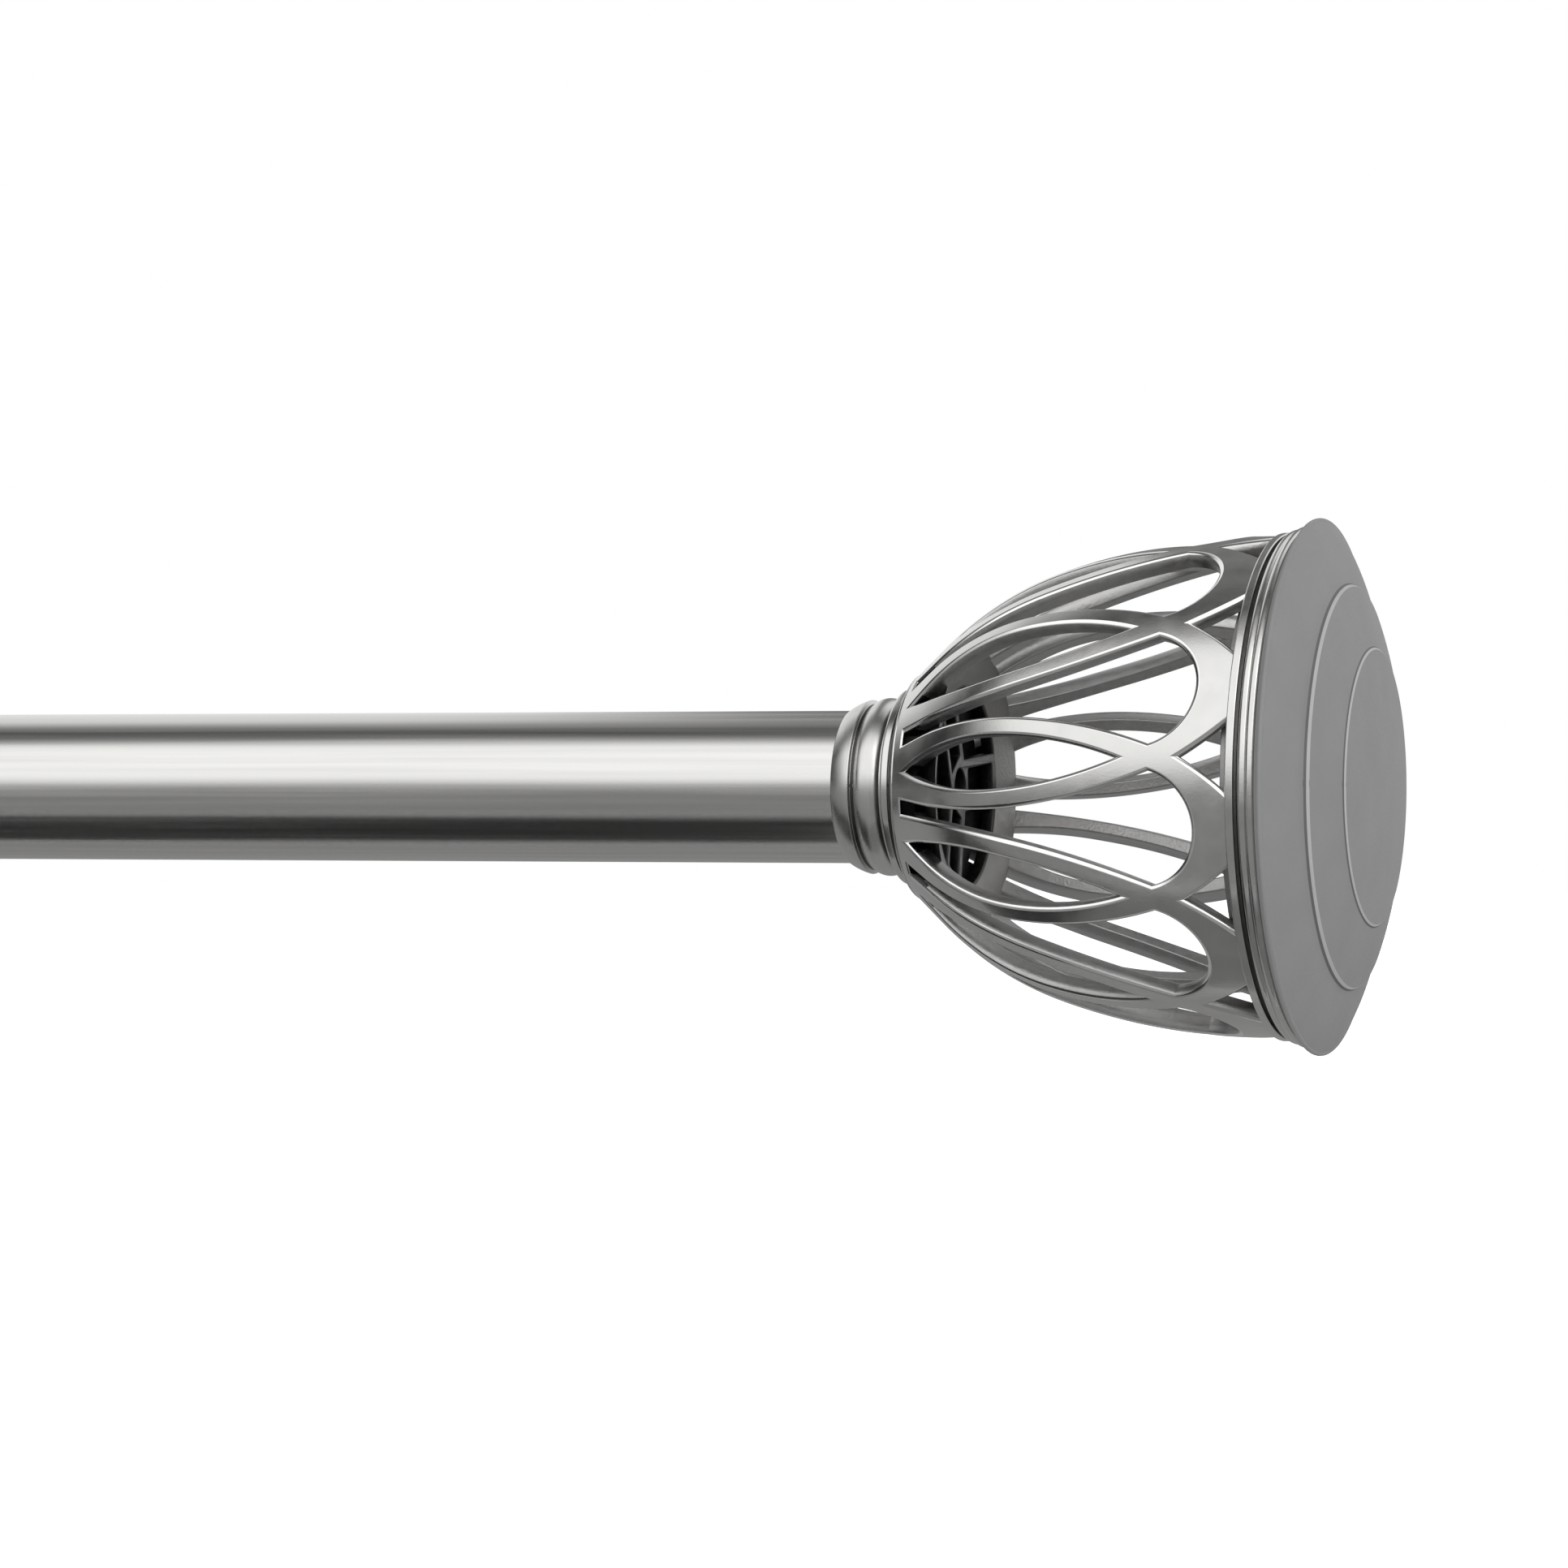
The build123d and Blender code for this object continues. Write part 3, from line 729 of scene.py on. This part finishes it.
def edge_section():
    """Edge of a window from the outer side to the inner side: growth, depth and turn of the normal."""
    wall_growth, wall_depth, _ = WALL_ROWS[0]
    rows = [(BEVEL_GROWTH, 0, BEVEL_TURNS[0]), (wall_growth, wall_depth, BEVEL_TURNS[1])]
    rows += [(growth, depth, math.radians(turn)) for growth, depth, turn in WALL_ROWS]
    last_growth = WALL_ROWS[-1][0]
    for i in range(INNER_ROUND_STEPS + 1):
        turn = math.pi / 2 * i / INNER_ROUND_STEPS
        depth = BELL_WALL - INNER_ROUND * (1 - math.sin(turn))
        rows.append((INNER_ROUND * (1 - math.cos(turn)) + last_growth, depth, math.pi / 2 + turn))
    return rows


# Materials of the lattice, in the order of its slots; DEEP is painted shade behind the web and EDGE a painted
# highlight on the bevels
FACE, INNER, WALL, DEEP, EDGE = range(5)


class Lattice:
    """Faces of half a hoop's share of the cage, in (station, angle, radius), with a normal at each corner."""

    def __init__(self):
        self.faces = []

    def add(self, corners, part):
        self.faces.append((corners, part))

    def point(self, station, angle, depth):
        radius = bell_radius(station, depth)
        return Vector((station, -radius * math.cos(angle), -radius * math.sin(angle)))

    def window_corner(self, spot, into, centre_angle, side, row):
        """Corner on a window's edge: spot and into are in the window's own plane."""
        _, depth, turn = row
        station, across = spot
        station += lean_at(station) * (depth - BELL_WALL / 2)
        radius = bell_radius(station, depth)
        angle = centre_angle + side * math.asin(across / radius)
        surface = bell_normal(station, depth, angle)
        tangent = Vector((0, math.sin(centre_angle), -math.cos(centre_angle))) * side
        wall = Vector((into[0], 0, 0)) + tangent * into[1]
        normal = (surface * math.cos(turn) + wall * math.sin(turn)).normalized()
        return self.point(station, angle, depth), normal, angle, station

    def add_window(self, outline, centre_angle, side):
        """Rounded edge and wall of a window; returns its outer and inner edge as (station, angle) points."""
        rows = edge_section()
        grid = []
        for row in rows:
            grid.append([[self.window_corner(spot, into, centre_angle, side, row) for spot, into in stretch]
                         for stretch in outline(row[0])])
        for level, (upper, lower) in enumerate(zip(grid, grid[1:])):
            for line_a, line_b in zip(upper, lower):
                for i in range(len(line_a) - 1):
                    quad = (line_a[i], line_a[i + 1], line_b[i + 1], line_b[i])
                    # Walls behind the web get painted shade, and the bevel row a painted highlight
                    behind_web = max(station for _, _, _, station in quad) < NECK_END + WEB_AT_HUB
                    wall = DEEP if behind_web else WALL
                    self.add([(p, n) for p, n, _, _ in quad], EDGE if level == 0 else wall)
        edges = []
        for lines in (grid[0], grid[-1]):
            points = [(station, angle) for line in lines for _, _, angle, station in line]
            edges.append([p for i, p in enumerate(points) if i == 0 or math.dist(p, points[i - 1]) > NO_STEP])
        return edges

    def add_skin(self, outline, depth, inner):
        """Surface of the bell inside an outline of (station, angle) points."""
        border = [Vector((station, angle * BELL_MOUTH_R)) for station, angle in outline]
        start, end = min(p.x for p in border), max(p.x for p in border)
        rows = int((end - start) / LATTICE_STEP)
        columns = int(max(p.y for p in border) / LATTICE_STEP)
        own = []
        for i in range(1, rows):
            for j in range(columns + 1):
                spot = Vector((start + i * LATTICE_STEP, (j + 0.5 * (i % 2)) * LATTICE_STEP))
                if inside(spot, border) and clear_of(spot, border, LATTICE_STEP * SKIN_CLEARANCE):
                    own.append(spot)
        loop = list(range(len(border)))
        spots, _, triangles, _, _, _ = delaunay_2d_cdt(border + own, [], [loop], 1, MERGE_DISTANCE)
        for triangle in triangles:
            corners = []
            for k in triangle:
                station, angle = spots[k].x, spots[k].y / BELL_MOUTH_R
                normal = bell_normal(station, depth, angle)
                corners.append((self.point(station, angle, depth), -normal if inner else normal))
            # Inner skin behind the web gets painted shade
            behind_web = min(spots[k].x for k in triangle) < NECK_END + WEB_AT_HUB
            inner_part = DEEP if behind_web else INNER
            self.add(corners, inner_part if inner else FACE)


def inside(spot, outline):
    """Whether a point lies inside a closed outline."""
    odd = False
    for a, b in zip(outline, outline[1:] + outline[:1]):
        if (a.y > spot.y) != (b.y > spot.y) and spot.x < (b.x - a.x) * (spot.y - a.y) / (b.y - a.y) + a.x:
            odd = not odd
    return odd


def clear_of(spot, outline, distance):
    """Whether a point keeps a distance from a closed outline."""
    for a, b in zip(outline, outline[1:] + outline[:1]):
        way = b - a
        share = max(0.0, min(1.0, (spot - a).dot(way) / max(way.length_squared, NO_SQUARE)))
        if (spot - a - way * share).length < distance:
            return False
    return True


def between(start, end, steps):
    """Evenly spaced points from start to end, both left out."""
    return [(start[0] + (end[0] - start[0]) * i / steps, start[1] + (end[1] - start[1]) * i / steps)
            for i in range(1, steps)]


def half_hoop():
    """Half a hoop's share: from the middle of a pointed window to the middle of the long window beside it."""
    lattice = Lattice()
    lens = lattice.add_window(lens_outline, 0, 1)
    arrow = lattice.add_window(arrow_outline, 0, 1)
    slot = lattice.add_window(slot_outline, HALF_PITCH, -1)
    neck_at = NECK_END - LATTICE_TUCK
    ring_at = RING_START + LATTICE_TUCK
    necks = []
    for level, depth in ((0, 0), (1, BELL_WALL)):
        neck_line = [(neck_at, HALF_PITCH * (1 - i / NECK_EDGE_STEPS)) for i in range(NECK_EDGE_STEPS + 1)]
        outline = [neck_line[-1]]
        outline += between(outline[-1], lens[level][0], LENS_LEAD_STEPS)
        outline += lens[level]
        outline += between(outline[-1], arrow[level][0], ARROW_LEAD_STEPS)
        outline += arrow[level]
        outline += between(outline[-1], (ring_at, HALF_PITCH), RING_LEAD_STEPS)
        outline += [(ring_at, HALF_PITCH)]
        outline += between(outline[-1], slot[level][0], SLOT_LEAD_STEPS)
        outline += slot[level]
        outline += neck_line[:-1]
        lattice.add_skin(outline, depth, level == 1)
        necks.append([lattice.point(s, a, depth) for s, a in neck_line])
    for i in range(NECK_EDGE_STEPS):
        quad = (necks[0][i], necks[0][i + 1], necks[1][i + 1], necks[1][i])
        lattice.add([(p, Vector((-1, 0, 0))) for p in quad], INNER)
    return lattice.faces


def lattice_mesh():
    """All hoops of the cage as one mesh with its own normals."""
    share = half_hoop()
    index, verts, faces, normals, parts = {}, [], [], [], []
    for hoop in range(HOOP_COUNT):
        turn = Matrix.Rotation(HOOP_TURN + 2 * HALF_PITCH * hoop, 3, "X")
        for flip in (Matrix.Identity(3), Matrix.Scale(-1, 3, (0, 0, 1))):
            move = turn @ flip
            for corners, part in share:
                face, lean = [], []
                for spot, normal in corners:
                    spot = move @ spot
                    key = tuple(round(value * WELD_GRID) for value in spot)
                    if key not in index:
                        index[key] = len(verts)
                        verts.append(spot)
                    if index[key] not in face:
                        face.append(index[key])
                        lean.append(move @ normal)
                if len(face) < 3:
                    continue
                a, b, c = (verts[k] for k in face[:3])
                if (b - a).cross(c - a).dot(sum(lean, Vector())) < 0:
                    face.reverse()
                    lean.reverse()
                faces.append(face)
                normals += lean
                parts.append(part)
    mesh = bpy.data.meshes.new("lattice")
    mesh.from_pydata(verts, [], faces)
    mesh.polygons.foreach_set("material_index", parts)
    mesh.shade_smooth()
    mesh.normals_split_custom_set(normals)
    return mesh


def ring_points(radius, steps):
    angles = [math.tau * i / steps for i in range(steps)]
    return [(radius * math.cos(angle), radius * math.sin(angle)) for angle in angles]


def pocket_points(arm_angle):
    """Pocket between one arm of the web and the next."""
    pocket_r = WEB_POCKET_R + WEB_EDGE
    half = HUB_R - WEB_EDGE
    pitch = math.tau / ARM_COUNT
    lean = math.asin(half / pocket_r)
    first, sweep = arm_angle + lean, pitch - 2 * lean
    angles = [first + sweep * i / WEB_POCKET_STEPS for i in range(WEB_POCKET_STEPS + 1)]
    points = [(pocket_r * math.cos(angle), pocket_r * math.sin(angle)) for angle in angles]
    corner_r = half / math.sin(pitch / 2)
    corner_angle = arm_angle + pitch / 2
    return points + [(corner_r * math.cos(corner_angle), corner_r * math.sin(corner_angle))]


def arm_pocket_points(arm_angle):
    """Rounded pocket inside an arm."""
    start, end = ARM_POCKET_START - WEB_EDGE, ARM_POCKET_END + WEB_EDGE
    half = HUB_R - ARM_RAIL_WIDTH + WEB_EDGE
    corner = ARM_POCKET_ROUND
    points = []
    for x, y, first in ((end, half, 0), (start, half, 90), (start, -half, 180), (end, -half, 270)):
        centre = (x - math.copysign(corner, x - (start + end) / 2), y - math.copysign(corner, y))
        for i in range(POCKET_CORNER_STEPS + 1):
            angle = math.radians(first + 90 * i / POCKET_CORNER_STEPS)
            points.append((centre[0] + corner * math.cos(angle), centre[1] + corner * math.sin(angle)))
    turn, rise = math.cos(arm_angle), math.sin(arm_angle)
    return [(x * turn - y * rise, x * rise + y * turn) for x, y in points]


def web_front(radius):
    """Station of the web's front side at a radius."""
    wall_r = bell_radius(NECK_END + WEB_AT_WALL, BELL_WALL)
    stops = ((HUB_R, WEB_AT_HUB), (WEB_POCKET_R, WEB_AT_RING), (wall_r, WEB_AT_WALL))
    station = WEB_AT_HUB
    for (r_a, at_a), (r_b, at_b) in zip(stops, stops[1:]):
        share = min(1.0, max(0.0, (radius - r_a) / (r_b - r_a)))
        station += (at_b - at_a) * share
    return NECK_END + station


def web_mesh():
    """Web of the neck: a dished disc with pockets between and inside its arms."""
    curve = bpy.data.curves.new("web", "CURVE")
    curve.dimensions = "2D"
    curve.fill_mode = "BOTH"
    curve.extrude = WEB_THICKNESS / 2 - WEB_EDGE
    curve.bevel_depth = WEB_EDGE
    curve.bevel_resolution = WEB_EDGE_STEPS
    arms = [ARM_TURN + math.tau * k / ARM_COUNT for k in range(ARM_COUNT)]
    loops = [ring_points(WEB_POCKET_R + 2 * WEB_EDGE, RIM_STEPS)]
    loops += [ring_points(HUB_HOLE_R + WEB_EDGE, HUB_HOLE_STEPS)]
    loops += [pocket_points(angle) for angle in arms]
    loops += [arm_pocket_points(angle) for angle in arms]
    for points in loops:
        spline = curve.splines.new("POLY")
        spline.points.add(len(points) - 1)
        for point, (x, y) in zip(spline.points, points):
            point.co = (x, y, 0, 1)
        spline.use_cyclic_u = True
    obj = bpy.data.objects.new("web_curve", curve)
    mesh = bpy.data.meshes.new_from_object(obj)
    bpy.data.objects.remove(obj)
    # The curve's own X becomes the far side, its Y up and its Z the way out
    for vertex in mesh.vertices:
        x, y, z = vertex.co
        vertex.co = (web_front(math.hypot(x, y)) - WEB_THICKNESS / 2 + z, x, y)
    mesh.update()
    # Front faces of the web get the arms' painted shade, and all others the darker painted shade
    for polygon in mesh.polygons:
        polygon.material_index = 0 if polygon.normal.x > FRONT_SHARE else 1
    return mesh


def web_rim_profile():
    """Rim of the web, from its pockets out to the bell."""
    wall_at = NECK_END + WEB_AT_WALL
    ring_at = NECK_END + WEB_AT_RING
    back = wall_at - WEB_THICKNESS
    return [
        (ring_at - WEB_THICKNESS, WEB_POCKET_R + WEB_EDGE),
        (ring_at, WEB_POCKET_R + WEB_EDGE),
        (wall_at, bell_radius(wall_at, BELL_WALL) + WEB_BITE),
        (back, bell_radius(back, BELL_WALL) + WEB_BITE),
    ]


def hub_profile():
    front = NECK_END + WEB_AT_HUB
    floor = COLLAR_LENGTH + HUB_FLOOR
    return [
        (COLLAR_LENGTH, HUB_BORE_R),
        (COLLAR_LENGTH, HUB_R),
        (front - WEB_EDGE, HUB_R),
        (front - WEB_EDGE, HUB_HOLE_R),
        (floor, HUB_HOLE_R),
        (floor, HUB_BORE_R),
    ]


# Pieces of the object

def add_finials():
    """Both finials.

    A row has a piece, its mesh, its materials, the node it replaces and the width of its rounded edges.
    """
    collar = lathe_mesh("collar", collar_profile(), slot_of=collar_slot)
    neck = lathe_mesh("neck", neck_profile(), slot_of=neck_slot)
    ring = lathe_mesh("ring", ring_profile())
    rim = lathe_mesh("rim", web_rim_profile(), RIM_STEPS, rim_slot)
    hub = lathe_mesh("hub", hub_profile(), HUB_STEPS)
    plate = lathe_mesh("plate", plate_profile(), slot_of=plate_slot)
    rows = (
        ("collar_turned", collar, [TURNED, PAINTED_SHADE], "collar", 0.1),
        ("cage_lattice", lattice_mesh(), [CAST, ROUGH, WALLS, PAINTED_SHADE, BEVEL_HIGHLIGHT], "cage", None),
        ("cage_neck", neck, [CAST, PAINTED_SHADE], None, 0.15),
        ("cage_ring", ring, [CAST], None, 0.3),
        ("cage_web", web_mesh(), [ARMS_SHADE, PAINTED_SHADE], None, 0.1),
        ("cage_rim", rim, [WEB, PAINTED_SHADE], None, 0.25),
        # The hub is all dark nickel, a painted shade
        ("cage_hub", hub, [PAINTED_SHADE], None, 0.15),
        ("end_plate_turned", plate, [CAST, WEB], "end_plate", 0.1),
    )
    pad = lathe_mesh("pad", pad_profile(), slot_of=pad_slot)
    rubbers = [RUBBER, RUBBER_HIGHLIGHT, RUBBER_SHADE]
    for side, place in PLACES.items():
        body = BODIES[side]
        for name, mesh, materials, node, edge in rows:
            replaced = f"{side}_{node}" if node else None
            piece = add_piece(f"{side}_{name}", mesh, place, body, materials, replaced)
            if edge:
                soften(piece, edge)
        piece = add_piece(f"{side}_pad_moulded", pad, place, body, rubbers, f"{side}_pad")
        soften(piece, PAD_EDGE, PAD_SOFT_ANGLE)


def add_tubes():
    for node, body in (("outer_tube", "outer_rod"), ("inner_tube", "inner_rod")):
        low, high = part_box(node)
        outer = high[2] / MM
        inner = outer - TUBE_WALL
        start, end = low[0] / MM, high[0] / MM
        stations = [start + (end - start) * i / TUBE_STEPS for i in range(TUBE_STEPS + 1)]
        profile = [(x, outer) for x in stations] + [(x, inner) for x in reversed(stations)]
        mesh = lathe_mesh(node, profile)
        tube = add_piece(f"{node}_drawn", mesh, Matrix.Scale(MM, 4), body, [BRUSHED], node)
        soften(tube, TUBE_EDGE)


def spring_mesh(start, run):
    """Round wire wound along X, from a start over a run in millimetres, with flat ends."""
    count = SPRING_TURNS * SPRING_STEPS_A_TURN
    pitch_lean = math.atan2(run, math.tau * SPRING_COIL_R * SPRING_TURNS)
    verts, faces = [], []
    for i in range(count + 1):
        angle = math.tau * i / SPRING_STEPS_A_TURN
        out = Vector((0, math.cos(angle), math.sin(angle)))
        along = Vector((0, -math.sin(angle), math.cos(angle)))
        side = Vector((math.cos(pitch_lean), 0, 0)) - along * math.sin(pitch_lean)
        centre = out * SPRING_COIL_R + Vector((start + run * i / count, 0, 0))
        for k in range(SPRING_WIRE_SIDES):
            turn = math.tau * k / SPRING_WIRE_SIDES
            verts.append(centre + (out * math.cos(turn) + side * math.sin(turn)) * SPRING_WIRE_R)
    for i in range(count):
        for k in range(SPRING_WIRE_SIDES):
            a = i * SPRING_WIRE_SIDES + k
            b = i * SPRING_WIRE_SIDES + (k + 1) % SPRING_WIRE_SIDES
            faces.append((a, b, b + SPRING_WIRE_SIDES, a + SPRING_WIRE_SIDES))
    faces.append(tuple(reversed(range(SPRING_WIRE_SIDES))))
    faces.append(tuple(range(count * SPRING_WIRE_SIDES, (count + 1) * SPRING_WIRE_SIDES)))
    mesh = bpy.data.meshes.new("spring")
    mesh.from_pydata(verts, [], faces)
    mesh.shade_smooth()
    return mesh


def add_spring():
    """Coil spring wound over the length of the spring solid, riding on the lock's core."""
    low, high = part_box("tension_spring")
    start = low[0] / MM + SPRING_WIRE_R
    run = high[0] / MM - SPRING_WIRE_R - start
    mesh = spring_mesh(start, run)
    place = Matrix.Scale(MM, 4)
    node = "tension_spring"
    spring = add_piece("tension_spring_wound", mesh, place, "lock_core", [ZINC], node)
    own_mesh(spring)


def dress_nodes():
    """Materials for the solids that show as they are."""
    looks = {
        "satin_nickel": BRUSHED,
        "grey_rubber": RUBBER,
        "black_plastic": BLACK,
        "white_nylon": NYLON,
        "zinc_steel": ZINC,
    }
    slots = {s["node"]: s["material_slot"] for s in frame["record"]["subparts"]}
    for name, obj in frame["nodes"].items():
        for slot in obj.material_slots:
            slot.material = looks[slots[name]]


# Stage

FLOOR_Z = -0.14
FLOOR_HALF = 6.0
FLOOR_GREY = 0.85
FLOOR_ROUGHNESS = 0.9
FLOOR_GLOW = 0.6
CARD_Z = -0.13
CARD_REACH = 3.0
CARD_SPLIT = RIGHT_SEAM - 0.035

# Brightness of the studio round the rod: degrees up from the camera's side, over the top and to the backdrop
STUDIO = (
    (-20, 0.28), (-8, 0.28), (1, 0.45), (9, 1.1), (15, 1.35),
    (66, 1.35), (75, 0.45), (86, 0.10), (100, 0.12), (115, 0.6), (125, 1.0),
)
STUDIO_PEAK = 1.35

# The studio's far end, along the rod, is dark
END_LEVEL = 0.04
END_REACH = (-0.95, -0.78)

# Cards under the rod that only the metal sees: angles below the camera's side, brightness, and both ends
CARDS = (
    ("front_card", 2, 42, 0.29, -CARD_REACH, CARD_REACH),
    ("low_card", 44, 91, 0.035, -CARD_REACH, CARD_SPLIT),
    ("finial_card", 44, 91, 0.20, CARD_SPLIT, CARD_REACH),
    ("far_card", 93, 172, 0.31, -CARD_REACH, CARD_REACH),
)

# A grey flag stands before the white backdrop, behind the finial: level, soft edges and start of the backdrop
FLAG_LEVEL = 0.22
FLAG_LEFT = (-0.325, -0.37)
FLAG_RIGHT = (-0.14, -0.04)
BACK_START = (math.radians(100), math.radians(116))

# Lamp towards the pad
LAMP_AT = (RIGHT_SEAM + 0.9, -0.5, 0.7)
LAMP_AIM = (RIGHT_SEAM, 0, 0)
LAMP_SIZE = 0.9
LAMP_POWER = 2.4


def calc(nodes, links, operation, *values):
    """Math node over sockets and plain numbers."""
    node = nodes.new("ShaderNodeMath")
    node.operation = operation
    for socket, value in zip(node.inputs, values):
        if isinstance(value, (int, float)):
            socket.default_value = value
        else:
            links.new(value, socket)
    return node.outputs["Value"]


def studio_level(nodes, links, angle):
    """Brightness of the studio at an angle about the rod, as a share of its peak."""
    share = ramp(nodes, links, angle, 0, 1, -math.pi, math.pi)
    levels = nodes.new("ShaderNodeValToRGB")
    stops = levels.color_ramp.elements
    white = 1 / STUDIO_PEAK
    stops[0].color = (white, white, white, 1)
    stops[1].color = (white, white, white, 1)
    for degrees, level in STUDIO:
        grey = level / STUDIO_PEAK
        stops.new((degrees + 180) / 360).color = (grey, grey, grey, 1)
    links.new(share, levels.inputs["Fac"])
    return levels.outputs["Color"]


def flag_level(nodes, links, angle, along):
    """What the grey flag leaves of the backdrop at an angle about the rod and a place along it."""
    behind = calc(nodes, links, "ABSOLUTE", angle)
    share_behind = ramp(nodes, links, behind, 0, 1, *BACK_START)
    left = ramp(nodes, links, along, FLAG_LEVEL, 1, *FLAG_LEFT)
    right = ramp(nodes, links, along, FLAG_LEVEL, 1, *FLAG_RIGHT)
    dim = nodes.new("ShaderNodeMix")
    dim.data_type = "FLOAT"
    dim.inputs["A"].default_value = 1
    links.new(share_behind, dim.inputs["Factor"])
    links.new(calc(nodes, links, "MAXIMUM", left, right), dim.inputs["B"])
    return dim.outputs["Result"]


def add_world():
    """White to the camera; elsewhere a studio with a white backdrop, a wide panel overhead and a dark gap."""
    world = bpy.data.worlds.new("studio")
    bpy.context.scene.world = world
    world.use_nodes = True
    nodes, links = world.node_tree.nodes, world.node_tree.links
    split = nodes.new("ShaderNodeSeparateXYZ")
    links.new(nodes.new("ShaderNodeTexCoord").outputs["Generated"], split.inputs["Vector"])
    along = split.outputs["X"]
    toward = calc(nodes, links, "MULTIPLY", split.outputs["Y"], -1)
    angle = calc(nodes, links, "ARCTAN2", split.outputs["Z"], toward)
    ends = ramp(nodes, links, along, END_LEVEL * STUDIO_PEAK, STUDIO_PEAK, *END_REACH)
    studio = calc(nodes, links, "MULTIPLY", studio_level(nodes, links, angle), ends)
    dimmed = calc(nodes, links, "MULTIPLY", studio, flag_level(nodes, links, angle, along))
    path = nodes.new("ShaderNodeLightPath")
    pick = nodes.new("ShaderNodeMix")
    pick.data_type = "FLOAT"
    pick.inputs["B"].default_value = 1
    links.new(path.outputs["Is Camera Ray"], pick.inputs["Factor"])
    links.new(dimmed, pick.inputs["A"])
    background = nodes["Background"]
    background.inputs["Color"].default_value = (1, 1, 1, 1)
    links.new(pick.outputs["Result"], background.inputs["Strength"])


def flat_object(name, corners, material):
    mesh = bpy.data.meshes.new(name)
    mesh.from_pydata(corners, [], [(0, 1, 2, 3)])
    mesh.materials.append(material)
    obj = bpy.data.objects.new(name, mesh)
    bpy.context.scene.collection.objects.link(obj)
    return obj


def add_floor():
    """Pale floor, lifted to white where the camera sees it, so that it keeps the rod's shadow."""
    material, nodes, links, shader = new_material("pale_floor")
    shader.inputs["Base Color"].default_value = (FLOOR_GREY, FLOOR_GREY, FLOOR_GREY, 1)
    shader.inputs["Roughness"].default_value = FLOOR_ROUGHNESS
    shader.inputs["Specular IOR Level"].default_value = 0.0
    path = nodes.new("ShaderNodeLightPath")
    glow = calc(nodes, links, "MULTIPLY", path.outputs["Is Camera Ray"], FLOOR_GLOW)
    shader.inputs["Emission Color"].default_value = (1, 1, 1, 1)
    links.new(glow, shader.inputs["Emission Strength"])
    signs = ((-1, -1), (1, -1), (1, 1), (-1, 1))
    flat_object("floor", [(x * FLOOR_HALF, y * FLOOR_HALF, FLOOR_Z) for x, y in signs], material)


def add_card(name, first, last, level, left, right):
    """Card along the rod, just over the floor, between two angles; only the metal sees it."""
    near, far = [CARD_Z / math.tan(math.radians(angle)) for angle in (first, last)]
    material, _, _, shader = new_material(name)
    shader.inputs["Base Color"].default_value = (0, 0, 0, 1)
    shader.inputs["Specular IOR Level"].default_value = 0
    shader.inputs["Emission Color"].default_value = (1, 1, 1, 1)
    shader.inputs["Emission Strength"].default_value = level
    corners = [(left, near, CARD_Z), (right, near, CARD_Z), (right, far, CARD_Z), (left, far, CARD_Z)]
    card = flat_object(name, corners, material)
    card.visible_camera = False
    card.visible_diffuse = False
    card.visible_shadow = False


def add_lamp():
    light = bpy.data.lights.new("end_light", "AREA")
    light.shape = "RECTANGLE"
    light.size = LAMP_SIZE
    light.size_y = LAMP_SIZE
    light.energy = LAMP_POWER
    obj = bpy.data.objects.new("end_light", light)
    obj.location = LAMP_AT
    obj.rotation_euler = (Vector(LAMP_AIM) - Vector(LAMP_AT)).to_track_quat("-Z", "Y").to_euler()
    bpy.context.scene.collection.objects.link(obj)


# Camera, as fitted to the photo
CAMERA_YAW = math.radians(18.9)
CAMERA_DISTANCE = 0.9005
CAMERA_RAISE = 0.0005
CAMERA_LENS = 123.5
CAMERA_ASIDE = 0.01246
CAMERA_SENSOR = 36
CAMERA_CLIP = 0.01


def add_camera():
    camera = bpy.data.cameras.new("camera")
    camera.lens = CAMERA_LENS
    camera.sensor_width = CAMERA_SENSOR
    camera.clip_start = CAMERA_CLIP
    obj = bpy.data.objects.new("camera", camera)
    target = Vector((RIGHT_SEAM - CAMERA_ASIDE, 0, CAMERA_RAISE))
    obj.location = target + CAMERA_DISTANCE * Vector((math.sin(CAMERA_YAW), -math.cos(CAMERA_YAW), 0))
    obj.rotation_euler = (math.pi / 2, 0, CAMERA_YAW)
    bpy.context.scene.collection.objects.link(obj)
    bpy.context.scene.camera = obj


bpy.context.scene.view_settings.view_transform = "Standard"
dress_nodes()
add_tubes()
add_finials()
add_spring()
add_world()
add_floor()
add_lamp()
for card in CARDS:
    add_card(*card)
add_camera()
